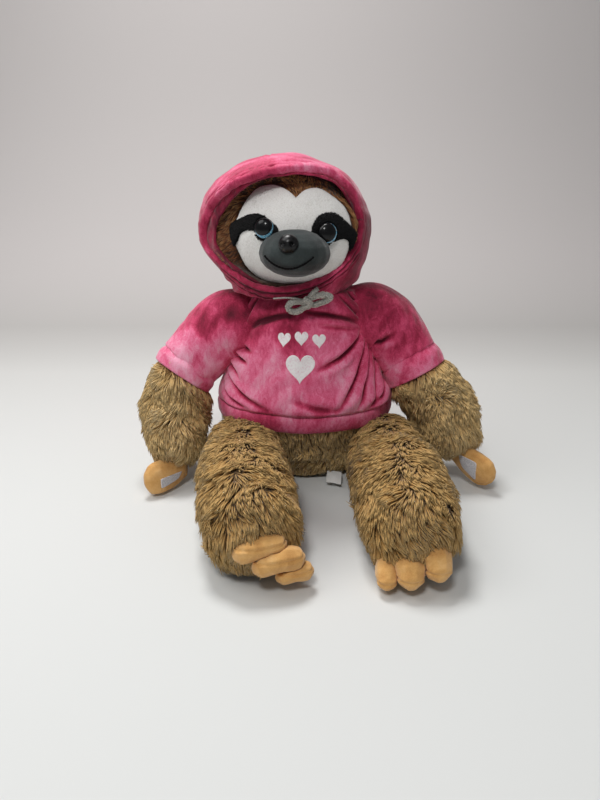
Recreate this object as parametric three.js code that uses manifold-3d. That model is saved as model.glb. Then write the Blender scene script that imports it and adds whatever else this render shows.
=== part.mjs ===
// A sitting plush sloth in a hooded top: fur body, head, arms and legs, suede paws and toes,
// a sewn face with safety eyes, and a velour top with sleeves, hood and drawstring.
// Millimetres, +Z up. The toy faces -Y, rests on Z = 0 and its left side is at +X.
import * as THREE from "three";
import { mergeVertices } from "three/addons/utils/BufferGeometryUtils.js";
import Module from "manifold-3d";

const wasm = await Module();
wasm.setup();

// Clearances
const seamGap = 0.3;
const facetGap = 0.9;
const swingGap = 0.98;
const overrun = 80;
const weldReach = 1e-4;

// Trunk
const neckHeight = 229;
const bellyHalfWidth = 102;
const bellyHalfDepth = 80;
const rumpSetBack = 12;
const topWall = 5;
const foldDepth = 4.5;
const blouseSwell = 3.5;
const blouseReach = 22;
const hemHeight = 71;
const hemBandHeight = 20;
const hemBandSwell = 2.5;

// Shoulders: a flat joint face leans in towards the neck on each side
const shoulderHalfSpan = 74;
const shoulderHeight = 184;
const shoulderLean = 22;
const armholeRadius = 37;
const sleeveRadius = 43;

// Arms
const sleeveEndRadius = 37;
const cuffLength = 15;
const cuffWall = 5;
const cuffSwell = 1;
const forearmRadius = 33;
const pawLength = 66;
const pawHalfWidth = 21;
const pawHalfThickness = 10;
const pawSwing = 30;
const armDrop = 140;
const patchHalfWidth = 13;
const patchHalfLength = 14;
const patchThickness = 1.8;
const patchPlaceShare = 0.6;

// Legs
const hipHalfSpanRight = 75;
const hipHalfSpanLeft = 96;
const hipSetForward = 50;
const hipHeight = 40;
const hipRadius = 38;
const calfRadius = 46;
const legReach = 242;
const legRaise = 10;
const legDrop = 60;
const toeLength = 44;
const toeRadius = 12;

// Head and hood
const headOffset = -23.5;
const headCentreHeight = 298;
const hoodHalfWidth = 100.6;
const hoodHalfDepth = 90;
const hoodRise = 82;
const hoodFall = 109;
const hoodWall = 6;
const openingHalfWidth = 85;
const openingHalfHeight = 62;
const rimHalfWidth = 6;
const rimHalfThickness = 4.8;
const rimSeat = 0.8;

// Face
const faceTurn = 2;
const muzzleTurn = 12;
const faceHalfWidth = 62;
const faceHalfHeight = 50;
const faceThickness = 4;
const faceOffset = 13.5;
const faceForward = 26;
const faceDrop = 2;
const domeHalfWidth = 78;
const domeHalfDepth = 62;
const domeHalfHeight = 66;
const recessDepth = 42;
const eyePatchHalfWidth = 23;
const eyePatchHalfHeight = 14;
const eyeSink = 2;
const washerDepth = 10;
const eyePatchThickness = 2.2;
const eyeRightBeside = 31.5;
const eyeRightAbove = 9;
const eyeLeftBeside = 36;
const eyeLeftAbove = 5;
const eyeRadius = 10.5;
const eyeDome = 7;
const capLip = 1.2;
const shankRadius = 2.6;
const shankLength = 15;
const washerRadius = 9;
const washerThickness = 1.8;
const muzzleHalfWidth = 39;
const muzzleHalfHeight = 25.5;
const muzzleReach = 32;
const muzzleSink = 2;
const muzzleDrop = 16.5;
const noseRadius = 10.5;
const noseDentRadius = 2.6;
const noseRise = 10;
const noseSink = 1;
const noseLiftShare = 0.5;
const smileHalfWidth = 25;
const smileLowShare = -0.45;
const smileRiseShare = 0.45;
const threadRadius = 0.9;

// Bow and label
const bowTurn = 74;
const bowKnotRadius = 5.5;
const bowCordRadius = 2.8;
const bowLoopLength = 24;
const stringRadius = 1.3;
const stringTurn = 98;
const labelWidth = 14;
const labelLength = 15;
const labelThickness = 1.1;

// Face outlines as shares of their half width and height
const faceOutlineShares = [
  [0.0, 0.74], [0.3, 1.0], [0.66, 0.94], [0.94, 0.6], [1.0, 0.1], [0.9, -0.45], [0.55, -0.88], [0.0, -1.02],
  [-0.55, -0.88], [-0.9, -0.45], [-1.0, 0.1], [-0.94, 0.6], [-0.66, 0.94], [-0.3, 1.0],
];
const eyePatchShares = [
  [-0.75, -0.1], [-0.35, 0.7], [0.3, 1.0], [0.9, 0.55], [1.1, -0.3],
  [1.05, -1.1], [0.75, -1.0], [0.4, -0.95], [-0.3, -0.95],
];
const eyes = [
  { name: "right", beside: -eyeRightBeside, above: eyeRightAbove },
  { name: "left", beside: eyeLeftBeside, above: eyeLeftAbove },
];

const toRadians = THREE.MathUtils.degToRad;
const group = new THREE.Group();

// Colours by finish
const finishes = {
  fur: { color: 0x967a50, roughness: 0.95, metalness: 0 },
  velour: { color: 0xd9557f, roughness: 0.8, metalness: 0 },
  face: { color: 0xe4e3df, roughness: 0.95, metalness: 0 },
  black_plush: { color: 0x17171a, roughness: 0.9, metalness: 0 },
  grey_suede: { color: 0x4d5557, roughness: 0.85, metalness: 0 },
  tan_suede: { color: 0xc08a4e, roughness: 0.85, metalness: 0 },
  glitter: { color: 0x2f8fb0, roughness: 0.08, metalness: 0 },
  nose: { color: 0x161616, roughness: 0.35, metalness: 0 },
  washer: { color: 0xe8e8e6, roughness: 0.5, metalness: 0 },
  thread: { color: 0x101010, roughness: 0.8, metalness: 0 },
  cord: { color: 0xc9c7c3, roughness: 0.95, metalness: 0 },
  hook_tape: { color: 0xd8d8da, roughness: 0.9, metalness: 0 },
  label: { color: 0xf2f2f0, roughness: 0.6, metalness: 0 },
};

// Solids: a closed three.js geometry to a solid and back
function solid(geometry) {
  const bare = new THREE.BufferGeometry();
  bare.setAttribute("position", geometry.getAttribute("position"));
  if (geometry.index) bare.setIndex(geometry.index);
  const merged = mergeVertices(bare, weldReach);
  const vertProperties = new Float32Array(merged.getAttribute("position").array);
  const triVerts = new Uint32Array(merged.index.array);
  return new wasm.Manifold(new wasm.Mesh({ numProp: 3, vertProperties, triVerts }));
}

function geometryOf(body) {
  const mesh = body.getMesh();
  const geometry = new THREE.BufferGeometry();
  geometry.setAttribute("position", new THREE.BufferAttribute(new Float32Array(mesh.vertProperties), 3));
  geometry.setIndex(new THREE.BufferAttribute(new Uint32Array(mesh.triVerts), 1));
  geometry.computeVertexNormals();
  return geometry;
}

function place(name, body, finish) {
  const material = new THREE.MeshStandardMaterial(finishes[finish]);
  const mesh = new THREE.Mesh(geometryOf(body), material);
  mesh.name = name;
  group.add(mesh);
}

// A skin over rings of points, each end closed on its own centre; closed rings run round to the first
function skin(rings, looped = false) {
  const sides = rings[0].length;
  const points = rings.flat();
  const faces = [];
  const spans = looped ? rings.length : rings.length - 1;
  for (let i = 0; i < spans; i += 1) {
    const here = i * sides;
    const next = ((i + 1) % rings.length) * sides;
    for (let j = 0; j < sides; j += 1) {
      const k = (j + 1) % sides;
      faces.push(here + j, here + k, next + k);
      faces.push(here + j, next + k, next + j);
    }
  }
  if (!looped) {
    for (const [ring, flip] of [[0, true], [rings.length - 1, false]]) {
      const centre = new THREE.Vector3();
      for (const p of rings[ring]) centre.addScaledVector(p, 1 / sides);
      points.push(centre);
      const hub = points.length - 1;
      for (let j = 0; j < sides; j += 1) {
        const a = ring * sides + j;
        const b = ring * sides + ((j + 1) % sides);
        faces.push(...(flip ? [hub, b, a] : [hub, a, b]));
      }
    }
  }
  const geometry = new THREE.BufferGeometry().setFromPoints(points);
  geometry.setIndex(faces);
  return solid(geometry);
}

// A smooth value between the rows of a table of [place, value, ...] by a Catmull-Rom curve
function graded(table, at, column) {
  let i = 0;
  while (i < table.length - 2 && at > table[i + 1][0]) i += 1;
  const t = THREE.MathUtils.clamp((at - table[i][0]) / (table[i + 1][0] - table[i][0]), 0, 1);
  const row = (k) => table[THREE.MathUtils.clamp(k, 0, table.length - 1)][column];
  const [a, b, c, d] = [row(i - 1), row(i), row(i + 1), row(i + 2)];
  const slope = (c - a) * t + (2 * a - 5 * b + 4 * c - d) * t * t;
  const bend = 2 * b + slope + (3 * b - a - 3 * c + d) * t * t * t;
  return bend / 2;
}

// A stuffed limb: it follows a smooth route, swells and tapers, and its ends are rounded
function limb(points, radii, options = {}) {
  const { sides, steps, flat = 1, up, caps = [1, 1], capRings = 3, grow = 0 } = options;
  const route = new THREE.CatmullRomCurve3(points, false, "centripetal");
  const lastRow = radii.length - 1;
  const table = radii.map((r, i) => [i / lastRow, r]);
  const rings = [];
  const addRing = (s, along, share) => {
    const centre = route.getPointAt(s);
    const tangent = route.getTangentAt(s);
    const across = new THREE.Vector3().crossVectors(up, tangent).normalize();
    const over = new THREE.Vector3().crossVectors(tangent, across).normalize();
    const radius = graded(table, s, 1);
    centre.addScaledVector(tangent, along * (radius + grow));
    const ring = [];
    for (let j = 0; j < sides; j += 1) {
      const angle = (2 * Math.PI * j) / sides;
      const a = Math.cos(angle) * (radius + grow) * share;
      const b = Math.sin(angle) * (radius * flat + grow) * share;
      ring.push(centre.clone().addScaledVector(across, a).addScaledVector(over, b));
    }
    rings.push(ring);
  };
  for (let i = 0; i < capRings; i += 1) {
    const angle = (Math.PI / 2) * ((i + 0.35) / capRings);
    addRing(0, -caps[0] * Math.cos(angle), Math.sin(angle));
  }
  for (let i = 0; i <= steps; i += 1) addRing(i / steps, 0, 1);
  for (let i = capRings - 1; i >= 0; i -= 1) {
    const angle = (Math.PI / 2) * ((i + 0.35) / capRings);
    addRing(1, caps[1] * Math.cos(angle), Math.sin(angle));
  }
  return skin(rings);
}

// Cutting blocks: everything on one side of a plane through a point
function beyond(point, normal) {
  const size = overrun * 10;
  const block = new THREE.BoxGeometry(size, size, size);
  block.translate(0, 0, size / 2);
  const way = normal.clone().normalize();
  const turn = new THREE.Quaternion().setFromUnitVectors(new THREE.Vector3(0, 0, 1), way);
  block.applyQuaternion(turn);
  block.translate(point.x, point.y, point.z);
  return solid(block);
}

const upward = new THREE.Vector3(0, 0, 1);
const downward = new THREE.Vector3(0, 0, -1);
const floor = beyond(new THREE.Vector3(0, 0, 0), downward);
const neckPoint = (gap) => new THREE.Vector3(0, 0, neckHeight + gap);
const aboveNeck = beyond(neckPoint(-seamGap / 2), upward);
const belowNeck = beyond(neckPoint(seamGap / 2), downward);

// Shoulder joint faces
const shoulderNormal = (side) => {
  const lean = toRadians(shoulderLean);
  return new THREE.Vector3(side * Math.cos(lean), 0, Math.sin(lean));
};
const shoulderPoint = (side) => new THREE.Vector3(side * shoulderHalfSpan, 0, shoulderHeight);
const outboard = (side, gap) => {
  const point = shoulderPoint(side).addScaledVector(shoulderNormal(side), gap);
  return beyond(point, shoulderNormal(side));
};
const inboard = (side, gap) => {
  const point = shoulderPoint(side).addScaledVector(shoulderNormal(side), -gap);
  return beyond(point, shoulderNormal(side).negate());
};

// Trunk: height, width, depth and set-back from the floor up, as shares
const trunkShares = [
  [0.0, 0.72, 0.72, 1.0],
  [0.05, 0.84, 0.84, 0.95],
  [0.17, 0.93, 0.9, 0.6],
  [0.31, 0.99, 0.98, 0.2],
  [0.42, 1.0, 1.0, 0.0],
  [0.54, 0.91, 0.96, 0.0],
  [0.66, 0.8, 0.89, 0.0],
  [0.75, 0.74, 0.83, 0.0],
  [0.83, 0.69, 0.77, 0.0],
  [0.92, 0.64, 0.7, 0.0],
  [1.0, 0.6, 0.64, 0.0],
];

function trunkPoint(turn, height, grow) {
  const level = height / neckHeight;
  const halfWidth = bellyHalfWidth * graded(trunkShares, level, 1) + grow;
  const halfDepth = bellyHalfDepth * graded(trunkShares, level, 2) + grow;
  const back = rumpSetBack * graded(trunkShares, level, 3);
  return new THREE.Vector3(halfWidth * Math.cos(turn), back + halfDepth * Math.sin(turn), height);
}

function trunk(growAt, bottom, top, sides, steps, through = 0) {
  const rings = [];
  const heights = Array.from({ length: steps + 1 }, (_, i) => bottom + ((top - bottom) * i) / steps);
  for (const height of heights) {
    const ring = [];
    for (let j = 0; j < sides; j += 1) {
      const turn = (2 * Math.PI * j) / sides;
      ring.push(trunkPoint(turn, height, growAt(turn, height)));
    }
    rings.push(ring);
  }
  if (through > 0) {
    rings.unshift(rings[0].map((p) => p.clone().setZ(bottom - through)));
    rings.push(rings[rings.length - 1].map((p) => p.clone().setZ(top + through)));
  }
  return skin(rings);
}

// Creases of the top, each from one place to another: turn and height shares twice, then depth and width
const creaseShares = [
  [0.6, 0.8, 0.715, 0.83, 1.0, 0.035],
  [0.745, 0.85, 0.885, 0.8, 1.0, 0.035],
  [0.59, 0.7, 0.7, 0.53, 1.0, 0.04],
  [0.57, 0.6, 0.66, 0.46, 0.8, 0.04],
  [0.91, 0.69, 0.86, 0.48, 0.9, 0.035],
  [0.95, 0.6, 0.91, 0.44, 0.8, 0.035],
  [0.72, 0.46, 0.82, 0.43, 0.5, 0.04],
  [0.38, 0.7, 0.3, 0.5, 0.8, 0.04],
  [0.12, 0.7, 0.2, 0.5, 0.8, 0.04],
  [0.19, 0.84, 0.31, 0.86, 0.8, 0.035],
];

function creaseAt(turn, height) {
  const here = new THREE.Vector2(turn / (2 * Math.PI), height / neckHeight);
  let depth = 0;
  for (const [turnA, levelA, turnB, levelB, share, width] of creaseShares) {
    const start = new THREE.Vector2(turnA, levelA);
    const run = new THREE.Vector2(turnB, levelB).sub(start);
    const t = THREE.MathUtils.clamp(here.clone().sub(start).dot(run) / run.lengthSq(), 0, 1);
    const away = here.distanceTo(start.addScaledVector(run, t)) / width;
    depth += share * foldDepth * Math.exp(-away * away);
  }
  return Math.min(depth, foldDepth);
}

// Legs: each route as shares of the reach, sideways and forwards, then height as a share of the calf
const legs = [
  {
    name: "right",
    hip: new THREE.Vector3(-hipHalfSpanRight, -hipSetForward, hipHeight),
    routeShares: [[0, 0], [0.015, 0.25], [0.045, 0.5], [0.08, 0.72], [0.095, 0.8]],
  },
  {
    name: "left",
    hip: new THREE.Vector3(hipHalfSpanLeft, -hipSetForward, hipHeight),
    routeShares: [[0, 0], [0.012, 0.25], [0.022, 0.5], [0.02, 0.72], [0.017, 0.8]],
  },
];
const legHeightShares = [0, 0.9, 0.965, 0.96, 0.9];
const legRadiusShares = [0.826, 0.93, 1.0, 1.0, 0.93];

function legTube(leg, grow, lastPoint, steps) {
  const points = leg.routeShares.slice(0, lastPoint + 1).map(([across, ahead], i) => {
    const height = i === 0 ? hipHeight : calfRadius * legHeightShares[i];
    return new THREE.Vector3(leg.hip.x + legReach * across, leg.hip.y - legReach * ahead, height);
  });
  const radii = legRadiusShares.slice(0, lastPoint + 1).map((share) => calfRadius * share);
  radii[0] = hipRadius;
  return limb(points, radii, { sides: 14, steps, up: upward, caps: [0, 0.85], grow });
}

// The hip end is a ball whose poles lie on the joint's own line
function hipBall(leg, grow) {
  const ball = new THREE.SphereGeometry(hipRadius + grow, 18, 8);
  ball.rotateZ(Math.PI / 2);
  ball.translate(leg.hip.x, leg.hip.y, leg.hip.z);
  return solid(ball);
}

const legLimb = (leg, grow) => legTube(leg, grow, legRadiusShares.length - 1, 6).add(hipBall(leg, grow));

// The room a leg needs as it swings about its hip
function legSweep(leg) {
  const thigh = legTube(leg, seamGap + facetGap, 2, 3);
  let room = hipBall(leg, seamGap + facetGap / 2);
  for (const stop of [legRaise, 0, -legDrop / 2, -legDrop]) {
    const turned = thigh.translate(leg.hip.clone().negate().toArray()).rotate([-stop, 0, 0]);
    room = room.add(turned.translate(leg.hip.toArray()));
  }
  return room;
}

const legRoom = legSweep(legs[0]).add(legSweep(legs[1]));

// Shoulder bosses: the trunk and the top each reach the joint face in a round stub
function shoulderStub(side, radius, gap) {
  const length = shoulderHalfSpan / 2;
  const stub = new THREE.CylinderGeometry(radius, radius, length, 18);
  stub.translate(0, -length / 2 - gap, 0);
  const turn = new THREE.Quaternion().setFromUnitVectors(new THREE.Vector3(0, 1, 0), shoulderNormal(side));
  stub.applyQuaternion(turn);
  const at = shoulderPoint(side);
  stub.translate(at.x, at.y, at.z);
  return solid(stub);
}

function trunkTrim(body) {
  let cut = body;
  for (const side of [-1, 1]) cut = cut.subtract(outboard(side, -seamGap / 2));
  return cut.subtract(aboveNeck).subtract(legRoom);
}

const coreGrow = () => 0;
const linerGrow = () => seamGap;
let core = trunk(coreGrow, 0, neckHeight, 20, 11);
let coreRoom = trunk(linerGrow, 0, neckHeight, 20, 11, overrun);
for (const side of [-1, 1]) {
  core = core.add(shoulderStub(side, armholeRadius, 0));
  coreRoom = coreRoom.add(shoulderStub(side, armholeRadius + seamGap, -facetGap));
}
place("body", trunkTrim(core), "fur");

const bandTop = hemHeight + hemBandHeight;

// The top swells over its hem
function topGrow(turn, height) {
  const blouse = blouseSwell * Math.exp(-(((height - bandTop) / blouseReach) ** 2));
  return topWall - creaseAt(turn, height) / 2 + foldDepth / 3 + blouse;
}

let top = trunk(topGrow, bandTop, neckHeight, 30, 10);
for (const side of [-1, 1]) top = top.add(shoulderStub(side, sleeveRadius, 0));
place("hoodie_torso", trunkTrim(top.subtract(coreRoom)), "velour");

// Hem band: a soft folded edge right round the trunk
const hemSectionShares = [
  [0, 1], [0.7, 1], [1, 0.75], [1, 0.25], [0.7, 0], [0, 0],
];
const hemRings = [];
const hemSides = 24;
for (let i = 0; i < hemSides; i += 1) {
  const turn = (2 * Math.PI * i) / hemSides;
  const outward = topWall + hemBandSwell;
  hemRings.push(hemSectionShares.map(([out, up]) => {
    const height = hemHeight + (hemBandHeight - seamGap) * up;
    return trunkPoint(turn, height, out * outward);
  }));
}
place("hem_band", trunkTrim(skin(hemRings, true).subtract(coreRoom)), "velour");

// Label: a bare folded tab sewn in the seam between the legs
const labelShape = new THREE.BoxGeometry(labelWidth, labelLength, labelThickness);
const labelAcross = (hipHalfSpanLeft - hipHalfSpanRight) / 2 + labelWidth * 1.4;
const labelFront = trunkPoint(-Math.PI / 2, labelThickness, 0).y - labelLength / 3;
labelShape.translate(labelAcross, labelFront, labelThickness);
place("sewn_label", solid(labelShape).subtract(coreRoom).subtract(legRoom), "label");

// Leg nodes
const legBodies = {};
for (const leg of legs) {
  const lowered = legLimb(leg, 0).subtract(floor);
  legBodies[leg.name] = legLimb(leg, seamGap);
  place(`leg_${leg.name}`, lowered, "fur");
}

// Toes: centre as offsets from the end of the leg in toe lengths, the way the toe points, its size
const footEnd = (leg) => {
  const [across, ahead] = leg.routeShares[leg.routeShares.length - 1];
  return new THREE.Vector3(leg.hip.x + legReach * across, leg.hip.y - legReach * ahead, calfRadius);
};
const toePlaces = {
  right: [
    { at: [0.2, -0.8, -0.14], way: [-1, -0.35, -0.08], longShare: 1.22, thickShare: 1.0 },
    { at: [0.59, -0.86, -0.42], way: [-1, -0.35, -0.08], longShare: 1.2, thickShare: 1.0 },
    { at: [0.92, -0.78, -0.74], way: [-1, -0.3, -0.08], longShare: 0.88, thickShare: 0.85 },
  ],
  left: [
    { at: [-0.58, -0.72, -0.78], way: [-0.1, -1, -0.25], longShare: 0.9, thickShare: 0.9 },
    { at: [-0.12, -0.78, -0.66], way: [0, -1, -0.25], longShare: 1.0, thickShare: 1.26 },
    { at: [0.42, -0.66, -0.48], way: [0.15, -1, -0.3], longShare: 1.15, thickShare: 1.26 },
  ],
};
for (const leg of legs) {
  let earlier = legBodies[leg.name];
  toePlaces[leg.name].forEach(({ at, way, longShare, thickShare }, i) => {
    const centre = footEnd(leg).add(new THREE.Vector3(...at).multiplyScalar(toeLength));
    const radius = toeRadius * thickShare;
    const along = new THREE.Vector3(...way).normalize().multiplyScalar((toeLength / 2) * longShare - radius);
    const bowed = centre.clone().add(new THREE.Vector3(0, 0, radius / 4));
    const points = [centre.clone().sub(along), bowed, centre.clone().add(along)];
    const radii = [radius, radius * 1.06, radius * 0.9];
    const shape = { sides: 10, steps: 3, up: upward, capRings: 2 };
    const toe = limb(points, radii, shape);
    place(`toe_${leg.name}_${i + 1}`, toe.subtract(earlier).subtract(floor), "tan_suede");
    earlier = earlier.add(limb(points, radii, { ...shape, grow: seamGap * 2 }));
  });
}

// Arms: offsets from the shoulder as shares of the arm's drop, outwards, forwards and down
const arms = [
  {
    name: "right",
    side: -1,
    sleeveShares: [[0, 0, 0], [0.19, 0, 0.057], [0.343, 0.03, 0.193], [0.493, 0.086, 0.35]],
    forearmShares: [[0.55, 0.114, 0.43], [0.6, 0.157, 0.6], [0.625, 0.24, 0.78], [0.6, 0.39, 0.98]],
    wristShares: [0.56, 0.47, 1.17],
    pawWay: new THREE.Vector3(-0.67, -0.73, -0.14),
    palmLean: -14,
  },
  {
    name: "left",
    side: 1,
    sleeveShares: [[0, 0, 0], [0.164, 0, 0.064], [0.293, 0.043, 0.171], [0.379, 0.093, 0.286]],
    forearmShares: [[0.45, 0.129, 0.414], [0.58, 0.171, 0.557], [0.7, 0.25, 0.73], [0.77, 0.35, 0.91]],
    wristShares: [0.82, 0.43, 1.06],
    pawWay: new THREE.Vector3(0.69, -0.58, -0.43),
    palmLean: 8,
  },
];
const armRadiusShares = [1.12, 1.1, 1.02, 0.97, 1.0, 1.04, 1.02, 0.84];
const backward = new THREE.Vector3(0, 1, 0);

function armPoint(arm, [out, ahead, down]) {
  const offset = new THREE.Vector3(arm.side * out, -ahead, -down).multiplyScalar(armDrop);
  return shoulderPoint(arm.side).add(offset);
}

function armLimb(arm, grow) {
  const points = [...arm.sleeveShares, ...arm.forearmShares].map((shares) => armPoint(arm, shares));
  const radii = armRadiusShares.map((share) => forearmRadius * share);
  return limb(points, radii, { sides: 14, steps: 8, up: backward, caps: [0.4, 0.7], capRings: 2, grow });
}

function pawLimb(arm, grow) {
  const wrist = armPoint(arm, arm.wristShares);
  const way = arm.pawWay.clone().normalize();
  const reach = pawReach();
  const points = [0, 0.5, 1].map((share) => wrist.clone().addScaledVector(way, reach * share));
  const radii = [pawHalfWidth * 0.75, pawHalfWidth * 0.95, pawHalfWidth];
  const flat = pawHalfThickness / pawHalfWidth;
  return limb(points, radii, { sides: 12, steps: 3, flat, up: palmNormal(arm), caps: [flat, 0.85], grow });
}

function palmNormal(arm) {
  const way = arm.pawWay.clone().normalize();
  const inwards = new THREE.Vector3().crossVectors(way, upward).multiplyScalar(arm.side);
  return inwards.applyAxisAngle(way, toRadians(arm.palmLean * arm.side)).normalize();
}

function pawAxis(arm) {
  const way = arm.pawWay.clone().normalize();
  return new THREE.Vector3().crossVectors(palmNormal(arm), way).normalize();
}

function pawReach() {
  return pawLength - pawHalfThickness - pawHalfWidth;
}

// A block over the palm, as large as the patch and a gap
function patchBlock(arm, gap) {
  const size = [patchHalfLength + gap, patchHalfWidth + gap, pawHalfThickness].map((half) => half * 2);
  const block = new THREE.BoxGeometry(...size);
  const way = arm.pawWay.clone().normalize();
  const facing = palmNormal(arm);
  block.applyMatrix4(new THREE.Matrix4().makeBasis(way, pawAxis(arm), facing));
  const centre = armPoint(arm, arm.wristShares).addScaledVector(way, pawReach() * patchPlaceShare);
  centre.addScaledVector(facing, pawHalfThickness);
  block.translate(centre.x, centre.y, centre.z);
  return solid(block);
}

const palmPatch = (arm, gap) => pawLimb(arm, patchThickness + seamGap + gap).intersect(patchBlock(arm, gap));

function pawSweep(arm) {
  const wrist = armPoint(arm, arm.wristShares);
  const one = pawLimb(arm, swingGap).add(palmPatch(arm, seamGap * 2));
  let room = one;
  for (const stop of [-pawSwing, -pawSwing / 2, pawSwing / 2, pawSwing]) {
    const turn = new THREE.Matrix4().makeTranslation(wrist.x, wrist.y, wrist.z);
    turn.multiply(new THREE.Matrix4().makeRotationAxis(pawAxis(arm), toRadians(stop)));
    turn.multiply(new THREE.Matrix4().makeTranslation(-wrist.x, -wrist.y, -wrist.z));
    room = room.add(one.transform(turn.elements));
  }
  return room;
}

// A ring with a soft rounded section, for the cuffs
function bandRing(inner, outer, length, sides) {
  const shares = [[0, 0], [0.6, 0], [1, 0.25], [1, 0.75], [0.6, 1], [0, 1]];
  const outline = shares.map(([out, up]) => new THREE.Vector2(inner + (outer - inner) * out, length * up));
  outline.push(outline[0].clone());
  return new THREE.LatheGeometry(outline, sides);
}

for (const arm of arms) {
  const face = inboard(arm.side, -seamGap / 2);
  const sleevePoints = arm.sleeveShares.map((shares) => armPoint(arm, shares));
  const seam = sleevePoints.at(-1);
  const end = armPoint(arm, arm.forearmShares[0]);
  const along = end.clone().sub(seam).normalize();
  const skinRoom = armLimb(arm, seamGap);

  const armBody = armLimb(arm, 0).subtract(face).subtract(pawSweep(arm));
  place(`arm_${arm.name}`, armBody, "fur");

  const sleeveRadii = [sleeveRadius, sleeveRadius * 0.99, sleeveRadius * 0.95, sleeveEndRadius];
  const sleeveShape = { sides: 16, steps: 5, up: backward, caps: [0.5, 0.4], capRings: 2 };
  const tube = limb(sleevePoints, sleeveRadii, sleeveShape);
  const sleeve = tube.subtract(skinRoom).subtract(face).subtract(beyond(seam, along));
  place(`sleeve_${arm.name}`, sleeve, "velour");

  const band = bandRing(sleeveEndRadius - cuffWall * 2, sleeveEndRadius + cuffSwell, cuffLength, 18);
  band.applyQuaternion(new THREE.Quaternion().setFromUnitVectors(new THREE.Vector3(0, 1, 0), along));
  const cuffStart = seam.clone().addScaledVector(along, seamGap);
  band.translate(cuffStart.x, cuffStart.y, cuffStart.z);
  place(`cuff_${arm.name}`, solid(band).subtract(skinRoom).subtract(face), "velour");

  place(`paw_${arm.name}`, pawLimb(arm, 0).subtract(floor), "tan_suede");

  const pad = palmPatch(arm, 0).subtract(pawLimb(arm, seamGap));
  place(`palm_patch_${arm.name}`, pad.subtract(floor), "hook_tape");
}

// Head and hood share one egg: rounder above its middle, longer below, cut flat at the neck
const headCentre = new THREE.Vector3(headOffset, 0, headCentreHeight);

function egg(grow, around, down) {
  const ball = new THREE.SphereGeometry(1, around, down);
  ball.rotateX(Math.PI / 2);
  const spots = ball.getAttribute("position");
  for (let i = 0; i < spots.count; i += 1) {
    const height = spots.getZ(i) > 0 ? hoodRise : hoodFall;
    spots.setX(i, spots.getX(i) * (hoodHalfWidth + grow));
    spots.setY(i, spots.getY(i) * (hoodHalfDepth + grow));
    spots.setZ(i, spots.getZ(i) * (height + grow));
  }
  ball.translate(headCentre.x, headCentre.y, headCentre.z);
  return solid(ball);
}

// A place on the front of the egg straight ahead of a spot beside and above its middle
function eggFront(beside, above, grow) {
  const a = hoodHalfWidth + grow;
  const c = (above > 0 ? hoodRise : hoodFall) + grow;
  const b = hoodHalfDepth + grow;
  const ahead = b * Math.sqrt(1 - (beside / a) ** 2 - (above / c) ** 2);
  const normal = new THREE.Vector3(beside / a ** 2, -ahead / b ** 2, above / c ** 2).normalize();
  return { spot: headCentre.clone().add(new THREE.Vector3(beside, -ahead, above)), normal };
}

// A prism that runs forwards from the middle of the head
function forwards(shape, centre, behind) {
  const settings = { depth: overrun * 2, bevelEnabled: false, curveSegments: 14 };
  const prism = new THREE.ExtrudeGeometry(shape, settings);
  prism.rotateX(Math.PI / 2);
  prism.translate(centre.x, behind, centre.z);
  return solid(prism);
}

function oval(halfWidth, halfHeight) {
  const shape = new THREE.Shape();
  shape.absellipse(0, 0, halfWidth, halfHeight, 0, Math.PI * 2);
  return shape;
}

// Hood rim: a rolled channel laid along the oval edge of the opening
function rimFrame(turn) {
  const { spot, normal } = eggFront(
    openingHalfWidth * Math.cos(turn),
    openingHalfHeight * Math.sin(turn),
    rimSeat - hoodWall / 2,
  );
  return { spot, normal };
}

function rimTube(halfWidth, halfThickness, around, sides) {
  const rings = [];
  for (let i = 0; i < around; i += 1) {
    const turn = (2 * Math.PI * i) / around;
    const { spot, normal } = rimFrame(turn);
    const ahead = rimFrame(turn + 0.01).spot;
    const tangent = ahead.sub(spot).normalize();
    const across = new THREE.Vector3().crossVectors(normal, tangent).normalize();
    const over = new THREE.Vector3().crossVectors(tangent, across);
    const ring = [];
    for (let j = 0; j < sides; j += 1) {
      const angle = (2 * Math.PI * j) / sides;
      const side = halfWidth * Math.cos(angle);
      const lift = halfThickness * Math.sin(angle);
      ring.push(spot.clone().addScaledVector(across, side).addScaledVector(over, lift));
    }
    rings.push(ring);
  }
  return skin(rings, true);
}

const rimFacets = [36, 8];
const shellFacets = [24, 12];
const fillFacets = [16, 9];
const linerFacets = [16, 10];
const rimRoom = rimTube(rimHalfWidth + seamGap, rimHalfThickness + seamGap, ...rimFacets);

const hoodHole = forwards(oval(openingHalfWidth, openingHalfHeight), headCentre, 0);
const hoodShell = egg(0, ...shellFacets).subtract(egg(-hoodWall, ...fillFacets)).subtract(hoodHole);
place("hood", hoodShell.subtract(rimRoom).subtract(belowNeck), "velour");
place("hood_rim", rimTube(rimHalfWidth, rimHalfThickness, ...rimFacets).subtract(belowNeck), "velour");

// Face dome: the stuffed front of the head, turned a little to the toy's right
const faceCentre = headCentre.clone().add(new THREE.Vector3(faceOffset, -faceForward, -faceDrop));

function dome(grow, around = 20, down = 12) {
  const ball = new THREE.SphereGeometry(1, around, down);
  ball.rotateX(Math.PI / 2);
  ball.scale(domeHalfWidth + grow, domeHalfDepth + grow, domeHalfHeight + grow);
  ball.rotateZ(-toRadians(faceTurn));
  ball.translate(faceCentre.x, faceCentre.y, faceCentre.z);
  return solid(ball);
}

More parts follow.
